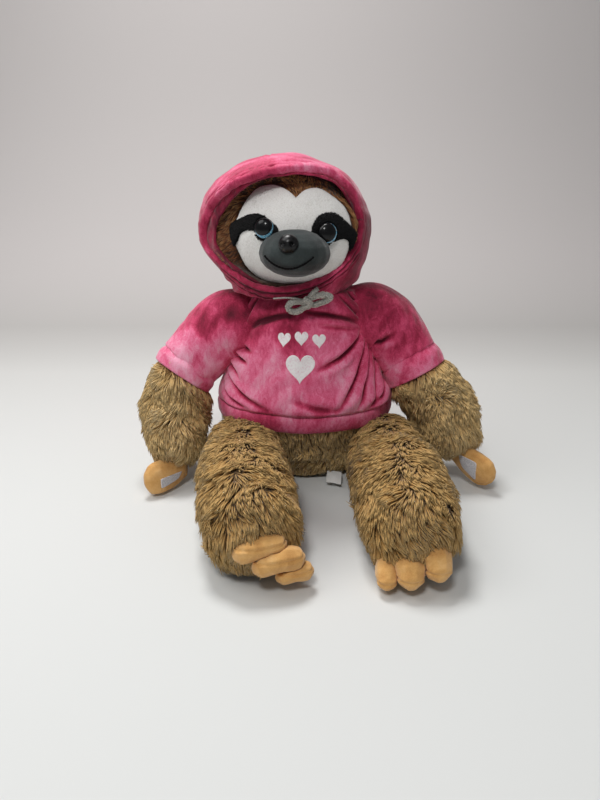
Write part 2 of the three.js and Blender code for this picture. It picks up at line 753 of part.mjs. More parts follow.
// A frame on the dome, straight ahead of a spot beside and above its middle in the face's own turn
function faceFrame(beside, above, grow) {
  const a = domeHalfWidth + grow;
  const b = domeHalfDepth + grow;
  const c = domeHalfHeight + grow;
  const ahead = b * Math.sqrt(1 - (beside / a) ** 2 - (above / c) ** 2);
  const axis = new THREE.Vector3(0, 0, 1);
  const spot = new THREE.Vector3(beside, -ahead, above).applyAxisAngle(axis, -toRadians(faceTurn));
  const normal = new THREE.Vector3(beside / a ** 2, -ahead / b ** 2, above / c ** 2).normalize();
  normal.applyAxisAngle(axis, -toRadians(faceTurn));
  return { spot: spot.add(faceCentre), normal };
}

function turned(geometry, normal, spot) {
  geometry.applyQuaternion(new THREE.Quaternion().setFromUnitVectors(new THREE.Vector3(0, 1, 0), normal));
  geometry.translate(spot.x, spot.y, spot.z);
  return solid(geometry);
}

function facePrism(shape, centre) {
  const prism = new THREE.ExtrudeGeometry(shape, { depth: overrun * 2, bevelEnabled: false, curveSegments: 6 });
  prism.rotateX(Math.PI / 2);
  prism.rotateZ(-toRadians(faceTurn));
  prism.translate(centre.x, centre.y, centre.z);
  return solid(prism);
}

function smoothShape(shares, width, height) {
  const points = shares.map(([across, up]) => new THREE.Vector2(across * width, up * height));
  const shape = new THREE.Shape();
  shape.setFromPoints(new THREE.SplineCurve([...points, points[0]]).getPoints(points.length * 2));
  return shape;
}

// Safety eyes and nose: a domed cap on a ribless shank, locked by a washer behind the cloth
function stud(radius, rise, grow) {
  const outline = [new THREE.Vector2(0, -shankLength - grow)];
  outline.push(new THREE.Vector2(shankRadius + grow, -shankLength - grow));
  outline.push(new THREE.Vector2(shankRadius + grow, -capLip - grow));
  outline.push(new THREE.Vector2(radius + grow, -capLip - grow));
  const arcs = 6;
  for (let i = 0; i < arcs; i += 1) {
    const angle = ((Math.PI / 2) * i) / arcs;
    outline.push(new THREE.Vector2((radius + grow) * Math.cos(angle), (rise + grow) * Math.sin(angle)));
  }
  outline.push(new THREE.Vector2(0, rise + grow));
  return new THREE.LatheGeometry(outline, 16);
}

function washer(inner, outer, thickness) {
  const half = thickness / 2;
  const outline = [
    new THREE.Vector2(inner, -half),
    new THREE.Vector2(outer, -half),
    new THREE.Vector2(outer, half),
    new THREE.Vector2(inner, half),
    new THREE.Vector2(inner, -half),
  ];
  return new THREE.LatheGeometry(outline, 12);
}

function disc(radius, thickness) {
  return new THREE.CylinderGeometry(radius, radius, thickness, 12);
}

// Fill of the hood with the room that the face stands in, then the dome of the face
const recess = (gap) => forwards(
  oval(openingHalfWidth - rimHalfWidth - gap, openingHalfHeight - rimHalfWidth - gap),
  headCentre,
  -recessDepth - gap,
);
const hoodFill = egg(-hoodWall - seamGap, ...fillFacets).subtract(recess(0));
const headRoom = egg(-hoodWall - seamGap, ...fillFacets).add(recess(0));
const headFront = dome(-faceThickness - seamGap, ...linerFacets).intersect(headRoom);
let head = hoodFill.add(headFront).subtract(belowNeck).subtract(rimRoom);
const hoodFillRoom = egg(-hoodWall, ...fillFacets).subtract(recess(seamGap));

const faceOutline = smoothShape(faceOutlineShares, faceHalfWidth, faceHalfHeight);
let facePanel = dome(0).intersect(facePrism(faceOutline, faceCentre.clone().setZ(headCentre.z)));
facePanel = facePanel.subtract(dome(-faceThickness, ...linerFacets)).subtract(hoodFillRoom).subtract(rimRoom);

const muzzleFrame = faceFrame(0, -muzzleDrop, 0);
const faceAhead = new THREE.Vector3(0, -1, 0).applyAxisAngle(upward, -toRadians(muzzleTurn));
const muzzleCentre = muzzleFrame.spot.clone().addScaledVector(faceAhead, -muzzleSink);

function muzzleBall(grow) {
  const ball = new THREE.SphereGeometry(1, 18, 10);
  ball.rotateX(Math.PI / 2);
  ball.scale(muzzleHalfWidth + grow, muzzleReach + muzzleSink + grow, muzzleHalfHeight + grow);
  ball.rotateZ(-toRadians(muzzleTurn));
  ball.translate(muzzleCentre.x, muzzleCentre.y, muzzleCentre.z);
  return solid(ball);
}

function muzzleSpot(beside, above, grow) {
  const a = muzzleHalfWidth;
  const b = muzzleReach + muzzleSink;
  const c = muzzleHalfHeight;
  const ahead = b * Math.sqrt(1 - (beside / a) ** 2 - (above / c) ** 2);
  const normal = new THREE.Vector3(beside / a ** 2, -ahead / b ** 2, above / c ** 2).normalize();
  const spot = new THREE.Vector3(beside, -ahead, above).addScaledVector(normal, grow);
  spot.applyAxisAngle(upward, -toRadians(muzzleTurn));
  normal.applyAxisAngle(upward, -toRadians(muzzleTurn));
  return { spot: spot.add(muzzleCentre), normal };
}

let muzzle = muzzleBall(0).subtract(dome(seamGap));

for (const { name, beside, above } of eyes) {
  const patchFrame = faceFrame(beside, above, eyePatchThickness);
  const { spot, normal } = patchFrame;
  const seat = spot.clone().addScaledVector(normal, -eyeSink);
  const outline = smoothShape(eyePatchShares, Math.sign(beside) * eyePatchHalfWidth, eyePatchHalfHeight);
  const centre = faceCentre.clone();
  const sideways = new THREE.Vector3(1, 0, 0).applyAxisAngle(upward, -toRadians(faceTurn));
  centre.addScaledVector(sideways, beside).add(new THREE.Vector3(0, 0, above));
  const room = turned(stud(eyeRadius, eyeDome, seamGap), normal, seat);
  let patch = dome(eyePatchThickness).intersect(facePrism(outline, centre));
  patch = patch.subtract(dome(seamGap)).subtract(muzzleBall(seamGap)).subtract(room).subtract(rimRoom);
  place(`eye_patch_${name}`, patch, "black_plush");
  place(`eye_${name}`, turned(stud(eyeRadius, eyeDome, 0), normal, seat), "glitter");
  facePanel = facePanel.subtract(room);
  muzzle = muzzle.subtract(room);

  const pocket = seat.clone().addScaledVector(normal, -washerDepth);
  const washerBody = turned(washer(shankRadius + seamGap, washerRadius, washerThickness), normal, pocket);
  place(`eye_washer_${name}`, washerBody, "washer");
  const pocketBody = turned(disc(washerRadius + seamGap, washerThickness + seamGap * 2), normal, pocket);
  head = head.subtract(room).subtract(pocketBody);
}

const noseFrame = muzzleSpot(0, muzzleHalfHeight * noseLiftShare, 0);
const noseSeat = noseFrame.spot.clone().addScaledVector(noseFrame.normal, -noseSink);
let nose = turned(stud(noseRadius, noseRise, 0), noseFrame.normal, noseSeat);
for (const side of [-1, 1]) {
  const dent = new THREE.SphereGeometry(noseDentRadius, 8, 6);
  const across = new THREE.Vector3(1, 0, 0).applyAxisAngle(upward, -toRadians(faceTurn));
  const at = noseSeat.clone().addScaledVector(noseFrame.normal, noseRise);
  at.addScaledVector(across, side * noseRadius * 0.42);
  dent.translate(at.x, at.y, at.z - noseRadius * 0.45);
  nose = nose.subtract(solid(dent));
}
place("nose", nose, "nose");
const noseWay = noseFrame.normal;
const nosePocket = noseSeat.clone().addScaledVector(noseWay, -washerDepth);
const noseLock = washer(shankRadius + seamGap, washerRadius, washerThickness);
place("nose_washer", turned(noseLock, noseWay, nosePocket), "washer");
const nosePocketDisc = disc(washerRadius + seamGap, washerThickness + seamGap * 2);
muzzle = muzzle.subtract(turned(stud(noseRadius, noseRise, seamGap), noseWay, noseSeat));
muzzle = muzzle.subtract(turned(nosePocketDisc, noseWay, nosePocket));

// Smile: one line of thread laid on the muzzle
const smilePoints = [];
const smileSteps = 14;
for (let i = 0; i <= smileSteps; i += 1) {
  const t = (2 * i) / smileSteps - 1;
  const above = muzzleHalfHeight * (smileLowShare + smileRiseShare * t * t);
  smilePoints.push(muzzleSpot(smileHalfWidth * t, above, threadRadius + seamGap).spot);
}
const smileSides = { sides: 6, steps: 14, up: upward, capRings: 1 };
place("mouth_stitch", limb(smilePoints, [threadRadius, threadRadius], smileSides), "thread");

place("muzzle", muzzle, "grey_suede");
place("face_panel", facePanel, "face");
place("head", head, "fur");

// Drawstring: a bow of soft cord tied in front of the rim, one end run back under the rim
const bowRim = rimFrame(-toRadians(bowTurn));
const bowOut = bowRim.normal;
const bowAcross = new THREE.Vector3().crossVectors(upward, bowOut).normalize();
const bowUp = new THREE.Vector3().crossVectors(bowOut, bowAcross).normalize();
const bowSpot = bowRim.spot.clone().addScaledVector(bowOut, rimHalfThickness + seamGap + bowKnotRadius);

// Each loop: centre across and up, half length and half height as shares of the loop, and its tilt
const bowLoopShares = [
  { across: -0.5, up: -0.28, long: 0.4, high: 0.26, tilt: 24 },
  { across: 0.58, up: 0.1, long: 0.48, high: 0.24, tilt: 12 },
];

function bowLoop({ across, up, long, high, tilt }) {
  const rings = [];
  const steps = 14;
  const sides = 6;
  for (let i = 0; i < steps; i += 1) {
    const turn = (2 * Math.PI * i) / steps;
    const reach = new THREE.Vector2(long * Math.cos(turn), high * Math.sin(turn));
    const away = new THREE.Vector2(Math.cos(turn) / long, Math.sin(turn) / high).normalize();
    const lean = new THREE.Vector2();
    reach.rotateAround(lean, toRadians(tilt));
    away.rotateAround(lean, toRadians(tilt));
    const centre = bowSpot.clone().addScaledVector(bowAcross, bowLoopLength * (across + reach.x));
    centre.addScaledVector(bowUp, bowLoopLength * (up + reach.y));
    const ring = [];
    for (let j = 0; j < sides; j += 1) {
      const angle = (2 * Math.PI * j) / sides;
      const outward = bowCordRadius * Math.cos(angle);
      const point = centre.clone().addScaledVector(bowAcross, away.x * outward);
      point.addScaledVector(bowUp, away.y * outward).addScaledVector(bowOut, -bowCordRadius * Math.sin(angle));
      ring.push(point);
    }
    rings.push(ring);
  }
  return skin(rings, true);
}

const knot = new THREE.SphereGeometry(bowKnotRadius, 12, 8);
knot.translate(bowSpot.x, bowSpot.y, bowSpot.z);
const tuck = rimFrame(-toRadians(stringTurn));
const tuckWay = downward.clone().addScaledVector(tuck.normal, -downward.dot(tuck.normal)).normalize();
const tuckSpot = tuck.spot.clone().addScaledVector(tuckWay, rimHalfWidth + seamGap * 2 + stringRadius);
tuckSpot.addScaledVector(tuck.normal, hoodWall / 2 - rimSeat + stringRadius + seamGap * 2);
const sagSpot = bowSpot.clone().lerp(tuckSpot, 0.5).addScaledVector(bowUp, -bowKnotRadius * 0.8);
const stringShape = { sides: 6, steps: 6, up: upward, capRings: 1 };
const string = limb([bowSpot, sagSpot, tuckSpot], [stringRadius, stringRadius], stringShape);
let bow = solid(knot).add(string);
for (const loop of bowLoopShares) bow = bow.add(bowLoop(loop));
place("drawstring", bow, "cord");

export default group;
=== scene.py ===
# The looks of a sitting plush sloth in a hooded top: long shaggy fur, crushed velour, suede paws,
# a sewn plush face with glitter eyes, and a soft cord tied in a bow. Metres, +Z up, the toy faces -Y.
import math

import bmesh
import bpy
import numpy as np
from mathutils import Matrix, Vector
from mathutils.bvhtree import BVHTree


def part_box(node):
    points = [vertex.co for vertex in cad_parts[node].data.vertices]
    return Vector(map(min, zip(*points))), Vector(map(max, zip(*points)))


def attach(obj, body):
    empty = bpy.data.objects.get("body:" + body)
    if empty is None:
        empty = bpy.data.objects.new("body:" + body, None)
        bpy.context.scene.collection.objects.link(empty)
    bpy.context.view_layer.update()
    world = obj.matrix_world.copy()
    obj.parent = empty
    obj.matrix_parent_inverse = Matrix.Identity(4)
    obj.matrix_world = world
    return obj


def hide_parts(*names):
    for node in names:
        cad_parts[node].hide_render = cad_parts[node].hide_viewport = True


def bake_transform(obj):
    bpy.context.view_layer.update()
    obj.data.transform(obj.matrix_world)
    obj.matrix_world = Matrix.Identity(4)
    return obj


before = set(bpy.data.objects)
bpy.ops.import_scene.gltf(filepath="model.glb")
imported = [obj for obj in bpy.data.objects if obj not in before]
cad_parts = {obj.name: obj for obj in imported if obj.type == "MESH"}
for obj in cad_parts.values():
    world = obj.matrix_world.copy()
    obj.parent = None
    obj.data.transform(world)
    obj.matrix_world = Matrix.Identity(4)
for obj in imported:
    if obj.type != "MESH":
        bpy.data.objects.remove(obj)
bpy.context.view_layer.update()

MM = 0.001
UP = np.array([0.0, 0.0, 1.0])

# Camera: the photograph's view, 600 by 800 pixels
camera_focus_px = 647.6
camera_pitch = 20.0
camera_place = (-0.006, -0.785, 0.368)
picture_height_px = 800
sensor = 36.0

# Trunk and top, as the frame has them
neck_height = 229 * MM
belly_half_width = 102 * MM
belly_half_depth = 80 * MM
rump_set_back = 12 * MM
hem_height = 71 * MM
hem_band_height = 20 * MM

# Hood, head and face
head_centre = np.array([-23.5, 0, 298]) * MM
hood_half_width = 100.6 * MM
hood_half_depth = 90 * MM
hood_rise = 82 * MM
hood_fall = 109 * MM
opening_half_widths = (95 * MM, 87 * MM)
opening_half_heights = (65 * MM, 66.5 * MM)
opening_tilt = math.radians(8)
face_centre = np.array([-10, -26, 296]) * MM
face_half_sizes = np.array([78, 62, 66]) * MM
face_turn = math.radians(2)
muzzle_turn = math.radians(12)
muzzle_centre = np.array([-11.7, -84, 279.5]) * MM
muzzle_half_sizes = np.array([39, 34, 25.5]) * MM
# The edge of the white face, beside and above its middle, round from the notch under the forelock
face_edge = np.array([
    (1.5, 41), (-9, 49), (-24.7, 53.8), (-42, 50.3), (-52.4, 40.5), (-61.1, 27.1), (-67.5, 13.4), (-70.4, 2),
    (-69.7, -8.8), (-66.1, -17.6), (-62.8, -25.1), (-56.5, -37.9), (-43, -50.3), (-26.7, -55.6), (-6, -55.8),
    (10.9, -53.8), (25.3, -49.4), (44.0, -39.8), (54.8, -29.4), (59.8, -17.8), (62.9, -8.4), (64.5, 1.0),
    (62.2, 13.7), (58.9, 23.9), (52.6, 33.1), (39.3, 43.4), (25.7, 50.4), (12, 49), (1.5, 41),
]) * MM
# The black round each eye: its upper edge and its lower edge, both from the nose outwards
patch_edges = {
    "right": (
        [(-15, 3), (-18.2, 9.6), (-24.4, 15.8), (-32, 21.1), (-40.3, 22.2), (-50.7, 19.7), (-60.6, 15.5),
         (-67.5, 11.5), (-71, 4.4), (-70.4, -4.5), (-66.5, -13)],
        [(-15, 3), (-21.2, 0), (-30, -4.3), (-37.6, -2.5), (-41.3, 4.6), (-49, 6), (-57.4, 2.1),
         (-62.1, -6.6), (-66.5, -13)],
    ),
    "left": (
        [(16, -2), (18.3, 6.2), (20, 13.2), (25, 20), (33, 23.3), (41.9, 22.4), (49.6, 17.2), (57.3, 10.4),
         (64.5, 2.5), (65, -3.4), (62.3, -10.6), (59, -16)],
        [(16, -2), (24, -8), (33, -9), (39.4, -5.9), (46.9, -3.4), (52.2, -3), (56.9, -5.6), (59, -16)],
    ),
}
# Each eye: beside and above the face's middle, and how far the pupil looks aside and up
eye_places = {"right": (-31.5 * MM, 9 * MM, (0.0, 0.3)), "left": (34.5 * MM, 4 * MM, (-0.28, 0.17))}
# The chest print: plain hearts, each beside and up, and its width
print_hearts = np.array([(-6, 148, 36), (-28, 180, 18), (-5, 182, 18), (18, 179, 18)]) * MM
# Each lamp: its place, what it aims at, its size and its watts
lamps = {
    "key": ((-0.3, 0.42, 1.85), (0, -0.1, 0.1), 0.6, 23),
    "side": ((-0.85, -0.2, 1.3), (0.05, -0.1, 0.1), 0.9, 6),
    "front": ((-0.25, -1.1, 1.4), (0, 0, 0.2), 0.35, 8.5),
}
lamp_colour = (1.0, 0.99, 0.98)
room_colour = (0.95, 0.95, 0.96, 1)
room_light = 0.24


# Camera and lights

def lamp(name, place, aim, size, watts):
    data = bpy.data.lights.new(name, "AREA")
    data.shape = "DISK"
    data.size = size
    data.energy = watts
    data.color = lamp_colour
    obj = bpy.data.objects.new(name, data)
    obj.location = place
    obj.rotation_euler = (Vector(aim) - Vector(place)).to_track_quat("-Z", "Y").to_euler()
    bpy.context.scene.collection.objects.link(obj)


def set_camera():
    data = bpy.data.cameras.new("photo_camera")
    data.sensor_width = sensor
    data.lens = camera_focus_px / picture_height_px * sensor
    obj = bpy.data.objects.new("photo_camera", data)
    obj.location = camera_place
    obj.rotation_euler = (math.radians(90 - camera_pitch), 0, 0)
    bpy.context.scene.collection.objects.link(obj)
    bpy.context.scene.camera = obj


def set_lights():
    for name, settings in lamps.items():
        lamp(name, *settings)
    world = bpy.data.worlds.new("studio")
    bpy.context.scene.world = world
    world.use_nodes = True
    room = world.node_tree.nodes["Background"]
    room.inputs["Color"].default_value = room_colour
    room.inputs["Strength"].default_value = room_light
    bpy.context.scene.view_settings.view_transform = "Standard"


# Finishes

def plain(value):
    """One channel of a screen colour as light."""
    share = value / 255
    return share / 12.92 if share <= 0.04045 else ((share + 0.055) / 1.055) ** 2.4


def tint(red, green, blue):
    return (plain(red), plain(green), plain(blue), 1.0)


class Tone:
    """A shader value: Python's operators on it add Math nodes."""

    def __init__(self, finish, socket):
        self.finish = finish
        self.socket = socket

    def reckon(self, operation, first, second=None):
        return self.finish.node("ShaderNodeMath", {"operation": operation}, first, second)

    def __add__(self, other):
        return self.reckon("ADD", self, other)

    def __radd__(self, other):
        return self.reckon("ADD", other, self)

    def __sub__(self, other):
        return self.reckon("SUBTRACT", self, other)

    def __rsub__(self, other):
        return self.reckon("SUBTRACT", other, self)

    def __mul__(self, other):
        return self.reckon("MULTIPLY", self, other)

    def __rmul__(self, other):
        return self.reckon("MULTIPLY", other, self)

    def __truediv__(self, other):
        return self.reckon("DIVIDE", self, other)

    def __pow__(self, other):
        return self.reckon("POWER", self, other)


class Finish:
    """A material made of nodes round one Principled shader."""

    def __init__(self, name, **fixed):
        self.material = bpy.data.materials.new(name)
        self.material.use_nodes = True
        self.tree = self.material.node_tree
        self.shader = self.tree.nodes["Principled BSDF"]
        for key, value in fixed.items():
            self.shader.inputs[key.replace("_", " ")].default_value = value

    def feed(self, socket, value):
        if isinstance(value, Tone):
            self.tree.links.new(value.socket, socket)
        elif value is not None:
            socket.default_value = value

    def node(self, kind, settings, *values, out=0, **named):
        made = self.tree.nodes.new(kind)
        for key, value in settings.items():
            if key == "stops":
                self.set_stops(made.color_ramp, value)
            else:
                setattr(made, key, value)
        for key, value in [*enumerate(values), *named.items()]:
            self.feed(made.inputs[key], value)
        return Tone(self, made.outputs[out])

    def set_stops(self, ramp, stops):
        while len(ramp.elements) < len(stops):
            ramp.elements.new(0.5)
        for element, (place, colour) in zip(ramp.elements, stops):
            element.position = place
            element.color = colour

    def place(self):
        return self.node("ShaderNodeTexCoord", {}, out="Object")

    def grain(self, place, scale, detail=3.0, rough=0.55, warp=0.0):
        settings = {"noise_dimensions": "3D"}
        values = {"Scale": scale, "Detail": detail, "Roughness": rough, "Distortion": warp}
        return self.node("ShaderNodeTexNoise", settings, place, **values)

    def cells(self, place, scale, out="Distance"):
        return self.node("ShaderNodeTexVoronoi", {"feature": "F1"}, place, Scale=scale, out=out)

    def axis(self, vector, number):
        return self.node("ShaderNodeSeparateXYZ", {}, vector, out=number)

    def stretch(self, place, scale, turn=(0, 0, 0)):
        return self.node("ShaderNodeMapping", {}, place, Scale=scale, Rotation=turn)

    def ramp(self, value, stops):
        return self.node("ShaderNodeValToRGB", {"stops": stops}, value)

    def soft(self, value, low, high, first=0.0, last=1.0):
        settings = {"interpolation_type": "SMOOTHSTEP"}
        return self.node("ShaderNodeMapRange", settings, value, low, high, first, last)

    def mix(self, share, first, second, way="MIX"):
        settings = {"data_type": "RGBA", "blend_type": way, "clamp_factor": True}
        # A Mix node's inputs 1 to 5 are for numbers and vectors, and its colours come after them
        blank = [None] * 5
        return self.node("ShaderNodeMix", settings, share, *blank, first, second, out=2)

    def bump(self, height, depth, strength=1.0, below=None):
        return self.node("ShaderNodeBump", {}, Strength=strength, Distance=depth, Height=height, Normal=below)

    def paint(self, **links):
        for key, value in links.items():
            self.feed(self.shader.inputs[key.replace("_", " ")], value)
        return self.material


def lock_finish(name, root, middle, tip, spread, sheen=0.25):
    """Fur locks: darker at the root as painted shade among the locks, paler at the tip, each lock its own
    tone.
    """
    finish = Finish(name, Roughness=0.75, Sheen_Weight=sheen, Sheen_Roughness=0.5, Specular_IOR_Level=0.25)
    spot = finish.node("ShaderNodeUVMap", {"uv_map": "OFBake"})
    along = finish.axis(spot, 0)
    tone = finish.axis(spot, 1)
    # Painted shade: the root colour is darker, where the locks shade each other
    colour = finish.ramp(along, [(0.0, root), (0.45, middle), (1.0, tip)])
    light = finish.soft(tone, 0.0, 1.0, 1 - spread, 1 + spread)
    shade = finish.node("ShaderNodeCombineXYZ", {}, light, light, light)
    return finish.paint(Base_Color=finish.mix(1.0, colour, shade, "MULTIPLY"))


# The skin under the fur: darker than the locks as painted shade between them, with a mottle of its own
def under_fur_finish(name, dark, light):
    finish = Finish(name, Roughness=0.9, Sheen_Weight=0.2)
    mottle = finish.grain(finish.place(), 140.0, 4.0)
    return finish.paint(
        Base_Color=finish.ramp(mottle, [(0.3, dark), (0.7, light)]),
        Normal=finish.bump(finish.grain(finish.place(), 600.0), 0.002),
    )


def velour_finish(name, shade=0.0):
    """Crushed velour: the nap lies in patches; over them the colour is lighter or darker by height and by
    side as painted light and shade, and darker in the creases as painted shade.
    """
    # Painted light and shade by height, as grey levels: paler on the lower belly and the top of the hood,
    # darkest under the chin
    light_by_height = [
        (0.2, 0.42), (0.27, 0.62), (0.36, 0.6), (0.43, 0.4),
        (0.5, 0.16), (0.62, 0.08), (0.78, 0.18), (0.93, 0.54),
    ]
    finish = Finish(name, Sheen_Weight=0.3, Sheen_Roughness=0.4, Specular_IOR_Level=0.15)
    place = finish.place()
    painted_height_light = [(level, (tone, tone, tone, 1)) for level, tone in light_by_height]
    height = finish.axis(place, 2)
    level = finish.ramp(height / 0.4, painted_height_light)
    beside = finish.axis(place, 0)
    # Painted light and shade by side, below the hood only: paler on the sleeve towards the side lamp, darker
    # on the other
    painted_side_light = finish.soft(beside, -0.06, -0.13, 0.0, 0.07) - finish.soft(beside, 0.09, 0.13, 0.0, 0.04)
    outer = painted_side_light * finish.soft(height, 0.2, 0.25, 1.0, 0.0)
    broad = finish.grain(finish.stretch(place, (1.0, 1.0, 0.7), (0.2, 0.5, 0.1)), 17.0, 3.0, 0.5, 1.0)
    fine = finish.grain(finish.stretch(place, (1.3, 1.0, 0.6), (0.0, 0.6, 0.0)), 110.0, 5.0, 0.65, 1.4)
    speck = finish.grain(place, 900.0, 2.0, 0.6)
    # Painted shade: the velour is darker the deeper a spot lies in a crease or fold line
    crease = finish.node("ShaderNodeAttribute", {"attribute_name": "crease"}, out="Fac")
    # The nap's own grain patches, plus the painted light and shade by height and side, less the painted shade
    # in creases and the lining's shade
    nap = broad * 0.55 + fine * 0.28 + speck * 0.17 + (level * 0.3 - 0.15) + outer - crease * 0.3 - shade
    colour = finish.ramp(nap, [
        (0.2, tint(84, 14, 34)),
        (0.35, tint(152, 34, 66)),
        (0.46, tint(200, 66, 104)),
        (0.55, tint(224, 108, 144)),
        (0.68, tint(236, 166, 190)),
    ])
    relief = finish.bump(fine, 0.0014, 0.5)
    return finish.paint(
        Base_Color=colour,
        Roughness=finish.soft(nap, 0.35, 0.7, 0.62, 0.85),
        Normal=finish.bump(speck, 0.0006, 0.6, relief),
    )


def suede_finish(name, dark, mid, light):
    finish = Finish(name, Sheen_Weight=0.3, Sheen_Roughness=0.5, Specular_IOR_Level=0.2)
    place = finish.place()
    cloud = finish.grain(place, 60.0, 4.0, 0.6, 0.4)
    nap = finish.grain(place, 900.0, 3.0, 0.6)
    return finish.paint(
        Base_Color=finish.ramp(cloud * 0.75 + nap * 0.25, [(0.32, dark), (0.5, mid), (0.7, light)]),
        Roughness=finish.soft(cloud, 0.3, 0.7, 0.7, 0.9),
        Normal=finish.bump(nap, 0.0005, 0.6, finish.bump(cloud, 0.002, 0.3)),
    )


# Forms

def graded(table, at, column=1):
    """A smooth value between the rows of a table of (place, value, ...)."""
    rows = np.array(table, float)
    places = rows[:, 0]
    values = rows[:, column]
    last = len(places) - 1
    at = np.clip(at, places[0], places[-1])
    i = np.clip(np.searchsorted(places, at, side="right") - 1, 0, last - 1)
    t = (at - places[i]) / (places[i + 1] - places[i])
    a, b, c, d = (values[np.clip(i + k, 0, last)] for k in (-1, 0, 1, 2))
    return (2 * b + (c - a) * t + (2 * a - 5 * b + 4 * c - d) * t**2 + (3 * b - a - 3 * c + d) * t**3) / 2


def unit(vectors):
    length = np.linalg.norm(vectors, axis=-1, keepdims=True)
    return vectors / np.maximum(length, 1e-12)


def step_up(value, low, high):
    share = np.clip((value - low) / (high - low), 0, 1)
    return share * share * (3 - 2 * share)


def waves(points, size, seed, count=7):
    """Smooth seeded noise from about -1 to 1, with waves about as long as size."""
    dice = np.random.default_rng(seed)
    runs = unit(dice.normal(size=(count, 3))) * dice.uniform(0.7, 1.5, (count, 1)) * 2 * math.pi / size
    return np.sin(points @ runs.T + dice.uniform(0, 2 * math.pi, count)).sum(axis=1) / math.sqrt(count)


def uneven(spots, seed, depth, size, other_depth, other_size):
    """The unevenness of stuffed cloth: waves of two sizes, all measures in millimetres."""
    waved = depth * MM * waves(spots, size * MM, seed)
    return waved + other_depth * MM * waves(spots, other_size * MM, seed + 1)


def bell(apart, width):
    """One at no distance, and falling away smoothly over a width."""
    return np.exp(-(apart / width) ** 2)


def ringed(middle, across, over, size, turn):
    """Spots on circles round the spots of a line."""
    return middle + across * (size * np.cos(turn))[:, None] + over * (size * np.sin(turn))[:, None]


class Route:
    """A smooth line through a few points, with shares of its length from 0 to 1."""

    def __init__(self, points):
        self.points = np.array(points, float)
        gaps = np.linalg.norm(np.diff(self.points, axis=0), axis=1)
        self.marks = np.concatenate([[0], np.cumsum(gaps)]) / gaps.sum()
        self.length = gaps.sum()

    def at(self, share):
        tables = [np.column_stack([self.marks, values]) for values in self.points.T]
        return np.stack([graded(table, share) for table in tables], axis=-1)

    def way(self, share):
        ahead = self.at(np.clip(share + 0.01, 0, 1))
        behind = self.at(np.clip(share - 0.01, 0, 1))
        return unit(ahead - behind)


def finished(name, shape, material):
    data = bpy.data.meshes.new(name)
    shape.to_mesh(data)
    shape.free()
    data.polygons.foreach_set("use_smooth", [True] * len(data.polygons))
    data.materials.append(material)
    obj = bpy.data.objects.new(name, data)
    bpy.context.scene.collection.objects.link(obj)
    return obj


# Points of a form closer than this are welded, in metres
weld_reach = 1e-6


def shaped(name, across, along, place, material):
    """A grid bent to a form: place turns shares across and along into points, with crease depths for painted
    shade if any.
    """
    shape = bmesh.new()
    cloth = shape.loops.layers.uv.new("Cloth")
    crease = shape.verts.layers.float.new("crease")
    bmesh.ops.create_grid(shape, x_segments=across, y_segments=along, size=0.5)
    spots = np.array([v.co[:2] for v in shape.verts]) + 0.5
    for face in shape.faces:
        for loop in face.loops:
            loop[cloth].uv = spots[loop.vert.index]
    points, depths = place(spots[:, 0], spots[:, 1]), 0.0
    if isinstance(points, tuple):
        points, depths = points
    for vert, point, depth in zip(shape.verts, points, np.broadcast_to(depths, len(points))):
        vert.co = point
        vert[crease] = depth
    bmesh.ops.remove_doubles(shape, verts=shape.verts, dist=weld_reach)
    bmesh.ops.recalc_face_normals(shape, faces=shape.faces)
    return finished(name, shape, material)


def dress(obj, body, slot, *nodes):
    """The body that a piece rides on, a finish slot that is not used, and the nodes that it stands for."""
    if body:
        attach(obj, body)
    if nodes:
        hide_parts(*nodes)
    return obj


def stuffed(name, node, material, cell, smoothings=6):
    """A stuffed skin over a node's own solid: its facets are melted away."""
    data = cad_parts[node].data.copy()
    data.name = name
    data.materials.clear()
    data.materials.append(material)
    obj = bpy.data.objects.new(name, data)
    bpy.context.scene.collection.objects.link(obj)
    melt = obj.modifiers.new("melt", "REMESH")
    melt.mode = "VOXEL"
    melt.voxel_size = cell
    melt.use_smooth_shade = True
    ease = obj.modifiers.new("ease", "SMOOTH")
    ease.iterations = smoothings
    ease.factor = 0.5
    bpy.context.view_layer.update()
    shown = obj.evaluated_get(bpy.context.evaluated_depsgraph_get())
    made = bpy.data.meshes.new_from_object(shown)
    obj.modifiers.clear()
    obj.data = made
    made.name = name
    made.polygons.foreach_set("use_smooth", [True] * len(made.polygons))
    return obj


# Fur

# How far up a lock its two rings lie
lock_levels = (0.35, 0.7)


def lock_form():
    """One tapering lock: three sides, three stretches, closed at the root."""
    shape = bmesh.new()
    bmesh.ops.create_cone(shape, cap_ends=True, segments=3, radius1=1.0, radius2=0.0, depth=1.0)
    bmesh.ops.translate(shape, verts=shape.verts, vec=(0, 0, 0.5))
    for height in lock_levels:
        edges = shape.verts[:] + shape.edges[:] + shape.faces[:]
        bmesh.ops.bisect_plane(shape, geom=edges, plane_co=(0, 0, height), plane_no=(0, 0, 1))
    bmesh.ops.triangulate(shape, faces=shape.faces[:])
    spots = np.array([v.co for v in shape.verts])
    faces = np.array([[v.index for v in f.verts] for f in shape.faces])
    shape.free()
    return spots, faces


lock_spots, lock_faces = lock_form()


